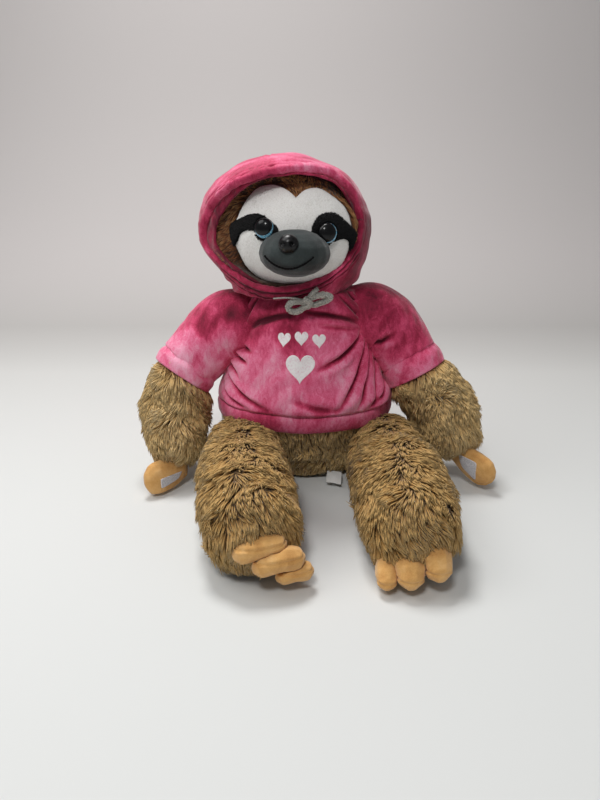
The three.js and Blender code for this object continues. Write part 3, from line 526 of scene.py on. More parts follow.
def scatter(skin, count, dice):
    """Seeded spots on a skin, even by area, with their normals."""
    data = skin.data
    data.calc_loop_triangles()
    corners = np.zeros(len(data.loop_triangles) * 3, np.int32)
    data.loop_triangles.foreach_get("vertices", corners)
    corners = corners.reshape(-1, 3)
    spots = np.zeros(len(data.vertices) * 3, np.float32)
    data.vertices.foreach_get("co", spots)
    spots = spots.reshape(-1, 3).astype(float)
    normals = np.zeros(len(data.vertices) * 3, np.float32)
    data.vertices.foreach_get("normal", normals)
    normals = normals.reshape(-1, 3).astype(float)
    a, b, c = (spots[corners[:, k]] for k in range(3))
    area = np.linalg.norm(np.cross(b - a, c - a), axis=1)
    chosen = corners[dice.choice(len(corners), count, p=area / area.sum())]
    r = np.sqrt(dice.random(count))[:, None]
    s = dice.random(count)[:, None]
    shares = (1 - r, r * (1 - s), r * s)
    roots = sum(spots[chosen[:, k]] * shares[k] for k in range(3))
    out = unit(sum(normals[chosen[:, k]] * shares[k] for k in range(3)))
    return roots, out


def tidy(vectors, out):
    """Vectors laid flat on the skin."""
    return vectors - out * (vectors * out).sum(axis=1, keepdims=True)


def nearest(spots, centres):
    """For each spot, the nearest centre."""
    found = np.zeros(len(spots), int)
    for start in range(0, len(spots), 2000):
        part = spots[start:start + 2000]
        found[start:start + 2000] = ((part[:, None] - centres[None]) ** 2).sum(axis=2).argmin(axis=1)
    return found


# How far the fur stays off the floor
floor_gap = 0.3 * MM
# Shares over which a lock's length, rise, draw and girth vary, and how far its way strays
lock_lengths = (0.75, 1.12)
lock_rises = (0.75, 1.25)
lock_draws = (0.5, 1.2)
lock_girths = (0.8, 1.25)
lock_stray = 0.16


def fur(name, skin, material, count, length, width, flow, keep=None, seed=1, lift=0.5, droop=0.35,
        clump=0.5, clump_size=7 * MM, wander=0.3, sink=1 * MM):
    """Shaggy locks over a skin: flow gives the way that they lie, and nearby locks draw together."""
    dice = np.random.default_rng(seed)
    roots, out = scatter(skin, count, dice)
    if keep is not None:
        kept = keep(roots, out)
        roots, out = roots[kept], out[kept]
    number = len(roots)
    lie = unit(tidy(flow(roots, out), out))
    swirl = np.column_stack([waves(roots, 45 * MM, seed * 10 + k) for k in range(3)])
    lie = unit(tidy(lie + swirl * wander + dice.normal(size=(number, 3)) * lock_stray, out))
    full = length(roots) if callable(length) else length
    size = full * dice.uniform(*lock_lengths, number) * (1 + 0.12 * waves(roots, 30 * MM, seed + 50))
    rise = lift * dice.uniform(*lock_rises, number) * (1 + 0.3 * waves(roots, 38 * MM, seed + 60))
    first = unit(out * rise[:, None] + lie * (1 - lift))
    second = lie * 0.6 - out * 0.35 * droop - UP * droop * 0.5
    tip = size[:, None] * (first * 0.62 + second * 0.55)
    share = max(1, min(number // 3, int(number * (2.2 * MM / clump_size) ** 2)))
    centres = dice.choice(number, share, replace=False)
    owner = centres[nearest(roots, roots[centres])]
    draw = clump * dice.uniform(*lock_draws, number)[:, None]
    apart = (roots[owner] - roots) + (tip[owner] - tip)
    reach = np.linalg.norm(apart, axis=1, keepdims=True)
    apart = apart * np.minimum(1, clump_size * 1.3 / np.maximum(reach, 1e-9))
    s = lock_spots[:, 2][None, :, None]
    line = roots[:, None] - out[:, None] * sink
    line = line + size[:, None, None] * (first[:, None] * (s - 0.38 * s**2) + second[:, None] * 0.55 * s**2)
    line = line + apart[:, None] * draw[:, None] * s**1.6
    side = unit(np.cross(first, out))
    over = np.cross(side, first)
    girth = width * dice.uniform(*lock_girths, number)[:, None, None]
    taper = np.interp(lock_spots[:, 2], [0, *lock_levels, 1], [0.9, 1.0, 0.72, 0.0])
    spread = np.hypot(lock_spots[:, 0], lock_spots[:, 1])
    ring = lock_spots[:, :2] / np.maximum(spread, 1e-9)[:, None] * taper[:, None]
    points = line + girth * (side[:, None] * ring[None, :, :1] + over[:, None] * ring[None, :, 1:] * 0.7)
    points[:, :, 2] = np.maximum(points[:, :, 2], floor_gap)
    return lock_mesh(name, points, dice, material)


def lock_mesh(name, points, dice, material):
    number, per_lock = points.shape[:2]
    faces = lock_faces[None] + np.arange(number)[:, None, None] * per_lock
    faces = faces.reshape(-1, 3)
    data = bpy.data.meshes.new(name)
    data.vertices.add(number * per_lock)
    data.vertices.foreach_set("co", points.astype(np.float32).ravel())
    data.loops.add(faces.size)
    data.loops.foreach_set("vertex_index", faces.astype(np.int32).ravel())
    data.polygons.add(len(faces))
    data.polygons.foreach_set("loop_start", np.arange(0, faces.size, 3, dtype=np.int32))
    data.update(calc_edges=True)
    data.polygons.foreach_set("use_smooth", [True] * len(faces))
    along = lock_spots[lock_faces.ravel(), 2]
    own = dice.beta(2.2, 2.2, number)[:, None]
    tone = np.clip(own + dice.uniform(-0.12, 0.12, (number, lock_faces.size)), 0.01, 0.99)
    spots = np.stack([np.broadcast_to(along * 0.98 + 0.01, tone.shape), tone], axis=-1)
    data.uv_layers.new(name="OFBake").data.foreach_set("uv", spots.astype(np.float32).ravel())
    data.materials.append(material)
    data.validate()
    obj = bpy.data.objects.new(name, data)
    bpy.context.scene.collection.objects.link(obj)
    return obj


# Stage

def set_stage():
    """A pale sweep: the floor, a round bend and the wall behind, darker over the bend and the wall as painted
    shade.
    """
    finish = Finish("backdrop", Roughness=0.9, Specular_IOR_Level=0.1)
    apart = finish.axis(finish.place(), 1)
    # Painted shade: the colour darkens from the floor to the bend, and stays darker on the wall
    finish.paint(Base_Color=finish.ramp(finish.soft(apart, -0.3, 0.9), [
        (0.0, tint(212, 214, 213)),
        (0.55, tint(200, 200, 198)),
        (0.8, tint(178, 176, 174)),
        (1.0, tint(192, 188, 187)),
    ]))
    section = [(-3, 0), (-1, 0), (0.1, 0), (0.6, 0.06), (1.0, 0.28), (1.2, 0.7), (1.25, 1.5), (1.25, 4)]
    sweep = Route([(0, back, height) for back, height in section])

    def place(u, v):
        line = sweep.at(v)
        return line + np.outer(u - 0.5, (8, 0, 0))

    shaped("sweep", 2, 160, place, finish.material)


# More finishes

def eye_finish(name, shift):
    """A black pupil over a ring of blue glitter, under a clear dome."""
    dome = {"Coat_Weight": 0.6, "Coat_Roughness": 0.02, "Coat_IOR": 1.4}
    finish = Finish(name, Roughness=0.35, Specular_IOR_Level=0.1, **dome)
    spot = finish.node("ShaderNodeUVMap", {"uv_map": "Cloth"})
    turn = finish.axis(spot, 0) * (2 * math.pi)
    reach = 1 - finish.axis(spot, 1)
    across = turn.reckon("COSINE", turn) * reach - shift[0]
    above = turn.reckon("SINE", turn) * reach - shift[1]
    apart = (across * across + above * above) ** 0.5
    flecks = finish.cells(finish.place(), 1700.0, out="Color")
    fleck = finish.axis(flecks, 0)
    # Flecks of blue glitter in random tones; the palest, near white, are painted glints
    glitter = finish.ramp(fleck, [
        (0.1, tint(14, 84, 134)),
        (0.4, tint(58, 176, 224)),
        (0.7, tint(140, 226, 250)),
        (0.9, tint(240, 252, 255)),
    ])
    pupil = finish.soft(apart, 0.78, 0.83, 1.0, 0.0)
    edge = finish.soft(reach, 0.95, 0.985)
    black = tint(6, 7, 9)
    return finish.paint(Base_Color=finish.mix(edge, finish.mix(pupil, glitter, black), black))


def plastic_finish(name, colour, dark):
    finish = Finish(name, Roughness=0.32, Specular_IOR_Level=0.35)
    cloud = finish.grain(finish.place(), 260.0, 3.0)
    return finish.paint(
        Base_Color=finish.ramp(cloud, [(0.3, dark), (0.7, colour)]),
        Roughness=finish.soft(cloud, 0.3, 0.7, 0.26, 0.42),
        Normal=finish.bump(finish.grain(finish.place(), 1500.0), 0.0001, 0.3),
    )


def grained_finish(name, scale, detail, rough, stops, depth, strength, **fixed):
    """Plush, thread or ink: colour and relief both follow one grain."""
    finish = Finish(name, **fixed)
    grain = finish.grain(finish.place(), scale, detail, rough)
    return finish.paint(Base_Color=finish.ramp(grain, stops), Normal=finish.bump(grain, depth, strength))


def plush_ground(name, dark, light, sheen=0.3):
    fixed = {"Roughness": 0.9, "Sheen_Weight": sheen, "Specular_IOR_Level": 0.15}
    return grained_finish(name, 800.0, 4.0, 0.6, [(0.3, dark), (0.7, light)], 0.0008, 0.7, **fixed)


def hook_finish():
    """Hook tape: rows of fine stiff hooks."""
    finish = Finish("hook_tape", Roughness=0.55, Specular_IOR_Level=0.4)
    hooks = finish.cells(finish.place(), 900.0)
    return finish.paint(
        Base_Color=finish.ramp(hooks, [(0.0, tint(236, 235, 236)), (0.6, tint(196, 194, 200))]),
        Normal=finish.bump(hooks, 0.0008, 0.9),
    )


def cloth_finish(name, colour, dark):
    finish = Finish(name, Roughness=0.85)
    weave = finish.grain(finish.stretch(finish.place(), (1.0, 3.0, 1.0)), 1400.0, 2.0)
    return finish.paint(
        Base_Color=finish.ramp(weave, [(0.3, dark), (0.7, colour)]),
        Normal=finish.bump(weave, 0.0002, 0.6),
    )


fur_shag = lock_finish("tan_shag", tint(128, 97, 56), tint(190, 156, 100), tint(224, 196, 142), 0.22, 0.15)
leg_shag = lock_finish("leg_shag", tint(110, 80, 42), tint(166, 128, 72), tint(204, 172, 114), 0.24, 0.15)
shaded_fur_back = under_fur_finish("fur_backing_shaded", tint(112, 84, 48), tint(150, 120, 76))
shaded_head_back = under_fur_finish("head_backing_shaded", tint(56, 33, 22), tint(84, 54, 34))
face_pile = lock_finish("white_pile", tint(196, 192, 186), tint(228, 226, 222), tint(240, 239, 237), 0.05)
patch_pile = lock_finish("black_pile", tint(3, 3, 4), tint(8, 8, 9), tint(16, 16, 18), 0.3, 0.02)
inner_shag = lock_finish("inner_shag", tint(56, 32, 20), tint(134, 84, 50), tint(208, 158, 104), 0.3, 0.1)
velour = velour_finish("crushed_velour")
# The lining: the same velour, darker by a share as painted shade
lining = velour_finish("velour_lining_shaded", 0.13)
tan_suede = suede_finish("tan_suede", tint(192, 138, 76), tint(214, 164, 98), tint(228, 184, 124))
grey_suede = suede_finish("grey_suede", tint(32, 38, 38), tint(46, 53, 53), tint(62, 70, 70))
black_thread = grained_finish(
    "black_thread", 2600.0, 2.0, 0.55, [(0.3, tint(4, 4, 5)), (0.8, tint(9, 9, 10))], 0.0003, 0.8,
    Roughness=0.8, Specular_IOR_Level=0.1,
)
chenille = lock_finish("chenille_pile", tint(132, 128, 120), tint(198, 195, 186), tint(226, 224, 216), 0.25)
plush_cord = plush_ground("chenille_core", tint(130, 128, 124), tint(188, 186, 181))
# White ink on velour: a little nap and wear shows through
white_print = grained_finish(
    "white_print", 420.0, 5.0, 0.7,
    [(0.3, tint(222, 150, 172)), (0.4, tint(232, 222, 226)), (0.6, tint(240, 238, 238))], 0.0004, 0.6,
    Roughness=0.6, Specular_IOR_Level=0.3,
)
hook_tape = hook_finish()
black_nose = plastic_finish("nose_plastic", tint(11, 11, 13), tint(4, 4, 6))
grey_plastic = plastic_finish("washer_plastic", tint(210, 210, 208), tint(190, 190, 188))
label_cloth = cloth_finish("label_cloth", tint(240, 240, 238), tint(214, 214, 212))
face_ground = plush_ground("white_plush", tint(228, 226, 222), tint(240, 239, 237))
patch_ground = plush_ground("black_plush", tint(4, 4, 5), tint(11, 11, 12), 0.02)


# Cloth pieces

# Level, width, depth and set-back shares of the trunk, from the floor to the neck
trunk_shares = [
    (0.0, 0.72, 0.72, 1.0), (0.05, 0.84, 0.84, 0.95), (0.17, 0.93, 0.9, 0.6), (0.31, 0.99, 0.98, 0.2),
    (0.42, 1.0, 1.0, 0.0), (0.54, 0.91, 0.96, 0.0), (0.66, 0.8, 0.89, 0.0), (0.75, 0.74, 0.83, 0.0),
    (0.83, 0.69, 0.77, 0.0), (0.92, 0.64, 0.7, 0.0), (1.0, 0.6, 0.64, 0.0),
]
trunk_reach = 92 * MM


def on_trunk(turn, height, grow):
    """A spot on the trunk at a turn from the toy's left, a height, and so far off the skin."""
    level = height / neck_height
    half_width = belly_half_width * graded(trunk_shares, level, 1) + grow
    half_depth = belly_half_depth * graded(trunk_shares, level, 2) + grow
    back = rump_set_back * graded(trunk_shares, level, 3)
    return np.stack([half_width * np.cos(turn), back + half_depth * np.sin(turn), height + 0 * turn], axis=-1)


# How much deeper the folds are cut than the tables of them say
fold_depth = 1.9


def folds(across, along, lines):
    """The relief of creased cloth: each line has its points, depth and width, in metres across and along."""
    relief = np.zeros(len(across))
    for points, depth, width in lines:
        route = np.array(points, float)
        best = np.full(len(across), np.inf)
        share = np.zeros(len(across))
        for k, (start, stop) in enumerate(zip(route[:-1], route[1:])):
            span = stop - start
            t = np.clip(((across - start[0]) * span[0] + (along - start[1]) * span[1]) / (span @ span), 0, 1)
            gap = np.hypot(across - start[0] - t * span[0], along - start[1] - t * span[1])
            share = np.where(gap < best, (k + t) / (len(route) - 1), share)
            best = np.minimum(best, gap)
        fade = np.sin(math.pi * np.clip(share, 0.03, 0.97)) ** 0.7
        lips = bell(best - 2.3 * width, 1.5 * width)
        relief += fold_depth * depth * fade * (0.6 * lips - bell(best, width))
    return relief


def creases(relief):
    """How deep in a crease each spot lies, from 0 to 1, which darkens the velour as painted shade."""
    return np.clip(-relief / (4 * MM), 0, 1) ** 0.8


def fold_lines(reach, rows):
    """Fold lines given as a turn in degrees and a height, or a way along, in millimetres."""
    return [([(math.radians(turn) * reach, along * MM) for turn, along in points], depth * MM, width * MM)
            for points, depth, width in rows]


# Folds of the top read from the photograph: points, depth and width
top_folds = fold_lines(trunk_reach, [
    ([(216, 226), (208, 195), (200, 160)], 3.0, 3.6),
    ([(320, 231), (338, 205), (344, 188), (343, 168)], 3.0, 2.8),
    ([(306, 228), (318, 210), (330, 196), (341, 180)], 1.6, 2.2),
    ([(212, 186), (226, 196), (245, 204), (262, 208)], 2.8, 4.2),
    ([(266, 211), (290, 207), (312, 199), (330, 190)], 2.4, 3.4),
    ([(280, 196), (305, 190), (330, 182)], 1.4, 3.0),
    ([(331, 184), (312, 168), (298, 157), (280, 146)], 2.8, 3.2),
    ([(333, 178), (318, 150), (305, 126), (290, 100)], 3.0, 2.8),
    ([(338, 176), (326, 148), (314, 120), (304, 98)], 2.6, 2.8),
    ([(346, 168), (336, 140), (322, 110), (316, 98)], 2.0, 2.6),
    ([(352, 140), (342, 122), (328, 106), (312, 97)], 2.4, 3.0),
    ([(196, 166), (208, 163), (222, 160)], 2.4, 2.6),
    ([(192, 152), (206, 150), (220, 146)], 2.8, 2.8),
    ([(190, 139), (204, 135), (220, 124)], 2.2, 2.8),
    ([(192, 130), (208, 121), (224, 111), (246, 98)], 3.0, 2.8),
    ([(194, 114), (212, 104), (232, 97)], 2.4, 2.6),
    ([(262, 112), (276, 103), (292, 98)], 1.2, 4.0),
    ([(120, 180), (112, 150), (100, 110)], 2.0, 4.0),
    ([(62, 190), (70, 150), (84, 112)], 2.0, 4.0),
    ([(150, 150), (140, 124), (132, 98)], 2.0, 3.4),
    ([(35, 150), (44, 122), (52, 98)], 2.0, 3.4),
])


# The lower edge of the top, tucked in behind the hem
top_bottom = hem_height + hem_band_height - 3 * MM


def top_grow(turn, height):
    """How far the top stands off the trunk."""
    spots = on_trunk(turn, height, 0.0)
    soft = uneven(spots, 131, 0.9, 60, 0.35, 22)
    blouse = (3.6 + 1.9 * np.cos(turn)) * MM * bell(height - 104 * MM, 15 * MM)
    tuck = -7 * MM * (1 - step_up(height, top_bottom, top_bottom + 8 * MM))
    collar = -5 * MM * step_up(height, 206 * MM, 230 * MM) ** 2
    return 6.6 * MM + soft + blouse + tuck + collar + folds(turn * trunk_reach, height, top_folds)


def make_top():
    crown = neck_height - 1 * MM

    def place(u, v):
        turn = math.pi / 2 + 2 * math.pi * u
        height = top_bottom + (crown - top_bottom) * np.clip((v - 0.05) / 0.89, 0, 1)
        grow = top_grow(turn, height)
        grow = grow - 5 * MM * (1 - np.clip(v / 0.05, 0, 1)) - 40 * MM * np.clip((v - 0.94) / 0.06, 0, 1)
        return on_trunk(turn, height, grow), creases(folds(turn * trunk_reach, height, top_folds))

    top = shaped("top_cloth", 360, 150, place, velour)
    dress(top, "torso", "velour", "hoodie_torso")


def band_section(v, half_thick, half_tall, power=0.45):
    """A rounded strip's cross-section: how far out and how far up, once round."""
    turn = 2 * math.pi * v
    out = np.sign(np.cos(turn)) * np.abs(np.cos(turn)) ** power * half_thick
    up = np.sign(np.sin(turn)) * np.abs(np.sin(turn)) ** power * half_tall
    return out, up


def make_hem(seed):
    def place(u, v):
        turn = math.pi / 2 + 2 * math.pi * u
        out, up = band_section(v, 4 * MM, hem_band_height / 2 + 1 * MM)
        height = hem_height + hem_band_height / 2 + up
        spots = on_trunk(turn, height, 0.0)
        soft = uneven(spots, seed, 0.8, 50, 0.3, 16)
        plump = 1.2 * MM * np.cos(math.pi * up / hem_band_height)
        return on_trunk(turn, height, 4.4 * MM + out + soft + plump)

    hem = shaped("hem_cloth", 260, 40, place, velour)
    dress(hem, "torso", "velour", "hem_band")


def tube_form(points, radii, lip, relief, ends=0.1):
    """A tube of cloth along a route, closed at both ends over a round lip."""
    route = Route(points)
    table = np.column_stack([np.linspace(0, 1, len(radii)), radii])

    def place(u, v):
        share = np.clip((v - ends) / (1 - 2 * ends), 0, 1)
        near = np.clip(1 - v / ends, 0, 1)
        far = np.clip((v - 1 + ends) / ends, 0, 1)
        over_lip = np.minimum(2 * (near + far), 1) * math.pi / 2
        closing = np.clip(2 * (near + far) - 1, 0, 1)
        radius = graded(table, share)
        turn = 2 * math.pi * u
        raised = relief(turn, share * route.length)
        radius = radius + raised * (1 - closing)
        size = (radius - lip * (1 - np.cos(over_lip))) * (1 - closing)
        way = route.way(share)
        across = unit(np.cross(UP, way))
        over = np.cross(way, across)
        middle = route.at(share) + way * (lip * np.sin(over_lip) * np.sign(far - near))[:, None]
        return ringed(middle, across, over, size, turn), creases(raised)

    return place


sleeve_radius = 43 * MM
sleeve_routes = {
    "right": np.array([
        (-50, 2, 190), (-74, 0, 184), (-100.6, 0, 176), (-122, -4, 157), (-143, -12, 135),
    ]) * MM,
    "left": np.array([(50, 2, 196), (74, 0, 192), (97, 0, 181), (115, -6, 162), (127, -13, 144)]) * MM,
}
cuff_routes = {
    "right": np.array([(-140.6, -11, 138), (-146.5, -13.7, 130.2), (-151.8, -16.4, 122.8)]) * MM,
    "left": np.array([(124.5, -11.8, 148), (131, -15, 136.5), (137.4, -18.4, 125.2)]) * MM,
}


sleeve_folds = {
    "right": fold_lines(sleeve_radius, [
        ([(232, 34), (205, 48), (180, 66)], 2.4, 3.4),
        ([(250, 40), (235, 58), (222, 82)], 2.4, 3.2),
        ([(300, 44), (285, 66), (280, 92)], 1.8, 3.4),
        ([(150, 60), (130, 72), (105, 78)], 1.2, 4.0),
    ]),
    "left": fold_lines(sleeve_radius, [
        ([(232, 40), (222, 60), (218, 84)], 2.8, 3.0),
        ([(254, 38), (262, 56), (266, 78)], 2.8, 3.0),
        ([(286, 36), (304, 48), (322, 56)], 2.2, 3.4),
        ([(330, 22), (350, 34), (368, 40)], 1.6, 4.0),
        ([(200, 52), (185, 62), (160, 66)], 2.0, 3.4),
    ]),
}


def on_sleeve(turn, along):
    """A spot on a sleeve as if it were a straight tube."""
    return np.column_stack([np.cos(turn) * sleeve_radius, np.sin(turn) * sleeve_radius, along])


def make_sleeve(side, seed):
    def relief(turn, along):
        soft = uneven(on_sleeve(turn, along), seed, 0.9, 48, 0.35, 18)
        return soft + folds(turn * sleeve_radius, along, sleeve_folds[side])

    form = tube_form(sleeve_routes[side], np.array([33, 42.5, 42.5, 40, 37.5]) * MM, 2 * MM, relief)
    sleeve = shaped(f"sleeve_cloth_{side}", 170, 90, form, velour)
    dress(sleeve, None, "velour", f"sleeve_{side}")
    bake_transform(sleeve)


def make_cuff(side, seed):
    def relief(turn, along):
        return uneven(on_sleeve(turn, along), seed, 0.6, 40, 0.25, 12)

    form = tube_form(cuff_routes[side], np.array([35.4, 39.4, 39.0]) * MM, 2.4 * MM, relief, ends=0.2)
    cuff = shaped(f"cuff_cloth_{side}", 150, 44, form, velour)
    dress(cuff, f"arm_{side}", "velour", f"cuff_{side}")


# Hood: an egg, open at the front inside an oval

def egg_sizes(ways):
    """The egg's half width and half depth, and how far it rises or falls, for each way from its middle."""
    rise = np.where(ways[:, 2] > 0, hood_rise, hood_fall)
    return np.column_stack([np.full_like(rise, hood_half_width), np.full_like(rise, hood_half_depth), rise])


def on_egg(ways, grow):
    return head_centre + ways * (egg_sizes(ways) + np.reshape(grow, (-1, 1)))


def opening_way(turn, size=1.0):
    """The way from the egg's middle to the edge of the opening, or to a smaller oval inside it."""
    size = size * (1 + 0.08 * bell(turn % (2 * math.pi) - 0.85, 0.45))
    wide = np.where(np.cos(turn) < 0, *opening_half_widths) * np.cos(turn) * size
    tall = np.where(np.sin(turn) < 0, *opening_half_heights) * np.sin(turn) * size
    beside = (wide * math.cos(opening_tilt) - tall * math.sin(opening_tilt)) / hood_half_width
    above = wide * math.sin(opening_tilt) + tall * math.cos(opening_tilt)
    lift = above / np.where(above > 0, hood_rise, hood_fall)
    return np.stack([beside, -np.sqrt(1 - beside**2 - lift**2), lift], axis=-1)


def within_opening(roots, trims):
    """Whether spots lie inside the opening, trimmed on the toy's right, its left, below and above."""
    beside, above = roots[:, 0] - head_centre[0], roots[:, 2] - head_centre[2]
    wide = beside * math.cos(opening_tilt) + above * math.sin(opening_tilt)
    tall = above * math.cos(opening_tilt) - beside * math.sin(opening_tilt)
    half_wide = np.where(wide < 0, opening_half_widths[0] - trims[0], opening_half_widths[1] - trims[1])
    half_tall = np.where(tall < 0, opening_half_heights[0] - trims[2], opening_half_heights[1] - trims[3])
    return (wide / half_wide) ** 2 + (tall / half_tall) ** 2 < 1


def swing(first, second, share):
    """A way that turns evenly from the first to the second."""
    angle = np.arccos(np.clip((first * second).sum(axis=1), -1, 1))[:, None]
    share = np.reshape(share, (-1, 1))
    return (np.sin((1 - share) * angle) * first + np.sin(share * angle) * second) / np.sin(angle)


# Heights and fronts over which the brow comes forward, and how far
brow_heights = (0.318, 0.358)
brow_fronts = (-0.03, 0.055)
brow_ahead = 25 * MM
# Heights, counted downwards, over which the hood is drawn in at the right cheek and at the neck
cheek_falls = (-0.288, -0.238)
neck_falls = (-0.264, -0.236)
cheek_draw = 0.17
neck_draw = 1 * MM
neck_start = 0.03
draw_reach = 0.04


def settled(spots):
    """The hood as worn: its brow stands forward and it is drawn in below the toy's right cheek."""
    spots = spots.copy()
    brow = step_up(spots[:, 2], *brow_heights) * step_up(-spots[:, 1], *brow_fronts)
    beside = spots[:, 0] - head_centre[0]
    cheek = step_up(-spots[:, 2], *cheek_falls) * np.clip(-beside / draw_reach, 0, 1)
    neck = step_up(-spots[:, 2], *neck_falls) * np.clip((beside - neck_start) / draw_reach, 0, 1)
    spots[:, 0] += cheek_draw * cheek * -beside - neck_draw * neck
    spots[:, 1] -= brow_ahead * brow
    return spots


def make_lining(seed):
    """The inside of the hood, seen between its edge and the fur: the same velour, darker as painted shade."""
    def place(u, v):
        turn = 2 * math.pi * u + math.pi / 2
        deep = 0.05 + 0.09 * step_up(-np.cos(turn), 0.2, 0.8)
        ways = opening_way(turn, 1 - deep * np.clip(v * 1.1, 0, 1))
        spots = on_egg(ways, np.full(len(u), -5.2 * MM) - 2 * MM * np.clip(v * 10 - 9, 0, 1))
        return settled(spots + unit(ways) * (0.5 * MM * waves(spots, 14 * MM, seed))[:, None])

    dress(shaped("hood_lining", 240, 16, place, lining), "head", "velour")


def make_hood(seed):
    depth_shares = [(0.0, 0.2), (0.1, 0.02), (0.14, 0.02), (0.2, 0.07), (1.0, 1.0)]
    grow_shares = [(0.0, -6.0), (0.1, -6.0), (0.14, -0.5), (0.2, 0.0), (1.0, 0.0)]

    def place(u, v):
        turn = 2 * math.pi * u + math.pi / 2
        depth = np.interp(v, *np.array(depth_shares).T)
        ways = swing(opening_way(turn), np.tile([0.0, 1.0, 0.0], (len(u), 1)), depth)
        grow = np.interp(v, *np.array(grow_shares).T) * MM
        spots = on_egg(ways, grow)
        outer = v > 0.14
        soft = uneven(spots, seed, 1.0, 70, 0.35, 24)
        crown = np.abs(spots[:, 0] - head_centre[0] + 17 * MM)
        top = step_up(spots[:, 2], head_centre[2] + 10 * MM, head_centre[2] + 40 * MM)
        groove = 1.1 * MM * bell(crown, 1.5 * MM) - 0.6 * MM * bell(crown - 4 * MM, 2.4 * MM)
        gather = step_up(-spots[:, 2], -head_centre[2] + 20 * MM, -neck_height - 6 * MM)
        pleat = 1.6 * MM * np.sin(turn * 26 + 2 * np.sin(turn * 3)) * gather
        reach = depth * math.pi * hood_half_depth
        edge = -1.0 * MM * bell(reach - 15 * MM, 1.4 * MM) + 0.8 * MM * bell(reach - 10 * MM, 4 * MM)
        grow = grow + np.where(outer, soft - groove * top + pleat + edge, 0)
        spots = settled(on_egg(ways, grow))
        spots[:, 2] = np.maximum(spots[:, 2], neck_height - 1.5 * MM)
        return spots

    hood = shaped("hood_cloth", 300, 130, place, velour)
    dress(hood, "head", "velour", "hood")


def rim_spots(turn, out, up):
    """Spots round the channel sewn along the opening: out over its face, up across it."""
    ways = opening_way(turn)
    spots = on_egg(ways, np.full(len(turn), -2.2 * MM))
    normal = unit(ways / egg_sizes(ways))
    ahead = on_egg(opening_way(turn + 0.01), np.full(len(turn), -2.2 * MM))
    across = unit(np.cross(normal, unit(ahead - spots)))
    return spots + normal * out[:, None] + across * up[:, None]


def make_rim(seed):
    def place(u, v):
        turn = 2 * math.pi * u + math.pi / 2
        chin = step_up(-np.sin(turn), 0.1, 0.85)
        out, up = band_section(v, 1.0, 1.0, 0.75)
        tall = (4.8 + 1.9 * chin + 1.4 * step_up(-np.cos(turn - 0.7), 0.1, 0.9)) * MM
        thick = (4.6 + 1.0 * chin) * MM
        spots = rim_spots(turn, out * thick, up * tall)
        pucker = uneven(spots, seed, 0.5, 11, 0.5, 34)
        angle = 2 * math.pi * v
        lines = sum(bell(angle - spot, 0.2) for spot in (0.35, 5.9)) * chin
        thick = thick + pucker - 2.0 * MM * lines
        tall = tall + pucker - 1.6 * MM * lines
        # The fold lines also darken the velour as painted shade
        return settled(rim_spots(turn, out * thick, up * tall)), 0.7 * lines

    rim = shaped("rim_cloth", 330, 80, place, velour)
    dress(rim, "head", "velour", "hood_rim")


# Face

def skin_over(spot, edge, thick, sink):
    """A padded skin inside a closed edge: v runs over its back to the edge, then over its front."""
    def place(u, v):
        back = np.clip(v / 0.1, 0, 1)
        front = np.clip((v - 0.1) / 0.9, 0, 1)
        share = np.where(v < 0.1, back, 1 - front)
        plump = np.sqrt(np.clip(front / 0.09, 0, 1) * (2 - np.clip(front / 0.09, 0, 1)))
        beside, above = edge(u, share).T
        spots, out = spot(beside, above)
        height = np.where(v < 0.1, -sink, -sink + (thick + sink) * plump)
        return spots + out * height[:, None]

    return place


def make_face(seed):
    outline = Route(face_edge)

    def edge(u, share):
        return outline.at(u) * share[:, None]

    skin = shaped("face_skin", 150, 60, skin_over(face_spot, edge, 1 * MM, 6 * MM), face_ground)
    heart_of_face = face_centre + np.array([0, -60, -10]) * MM
    away = lambda roots, out: (roots - heart_of_face) * (1, 0.3, 1)
    front = lambda roots, out: out[:, 1] < -0.1
    loops = [np.concatenate([upper, lower[::-1]]) * MM for upper, lower in patch_edges.values()]

    def white(roots, out):
        black = np.any([inside_loop(*on_face(roots), loop) for loop in loops], axis=0)
        return front(roots, out) & ~black

    pile = fur("face_pile", skin, face_pile, 14000, 2.4 * MM, 0.75 * MM, away, white, seed,
               lift=0.28, droop=0.1, clump=0.2, clump_size=3 * MM, wander=0.3, sink=0.5 * MM)
    dress(pile, "head", "face")
    dress(skin, "head", "face", "face_panel")
    for number, side in enumerate(("right", "left")):
        patch = make_patch(side)
        eye = face_spot(np.array([eye_places[side][0]]), np.array([eye_places[side][1]]))[0]
        clear = lambda roots, out: front(roots, out) & (np.linalg.norm(roots - eye, axis=1) > 11 * MM)
        black = fur(f"patch_pile_{side}", patch, patch_pile, 5200, 3.6 * MM, 0.5 * MM, away, clear,
                    seed + 5 + number, lift=0.5, droop=0.1, clump=0.25, clump_size=3 * MM, wander=0.4,
                    sink=0.5 * MM)
        dress(black, "head", "black_plush")
        dress(patch, "head", "black_plush", f"eye_patch_{side}")


def make_patch(side):
    upper, lower = (Route(np.array(rows) * MM) for rows in patch_edges[side])

    def place(u, v):
        front = u < 0.7
        share = np.where(front, u / 0.7, (1 - u) / 0.3)
        flat = lower.at(v) * (1 - share[:, None]) + upper.at(v) * share[:, None]
        spots, out = face_spot(flat[:, 0], flat[:, 1])
        plump = (np.clip(4 * share * (1 - share), 0, 1) ** 0.35) * (np.clip(v * (1 - v) * 12, 0, 1) ** 0.5)
        height = np.where(front, 1.0 * MM + 1.6 * MM * plump, 1.0 * MM - 2 * MM * plump)
        return spots + out * height[:, None]

    return shaped(f"patch_skin_{side}", 60, 90, place, patch_ground)


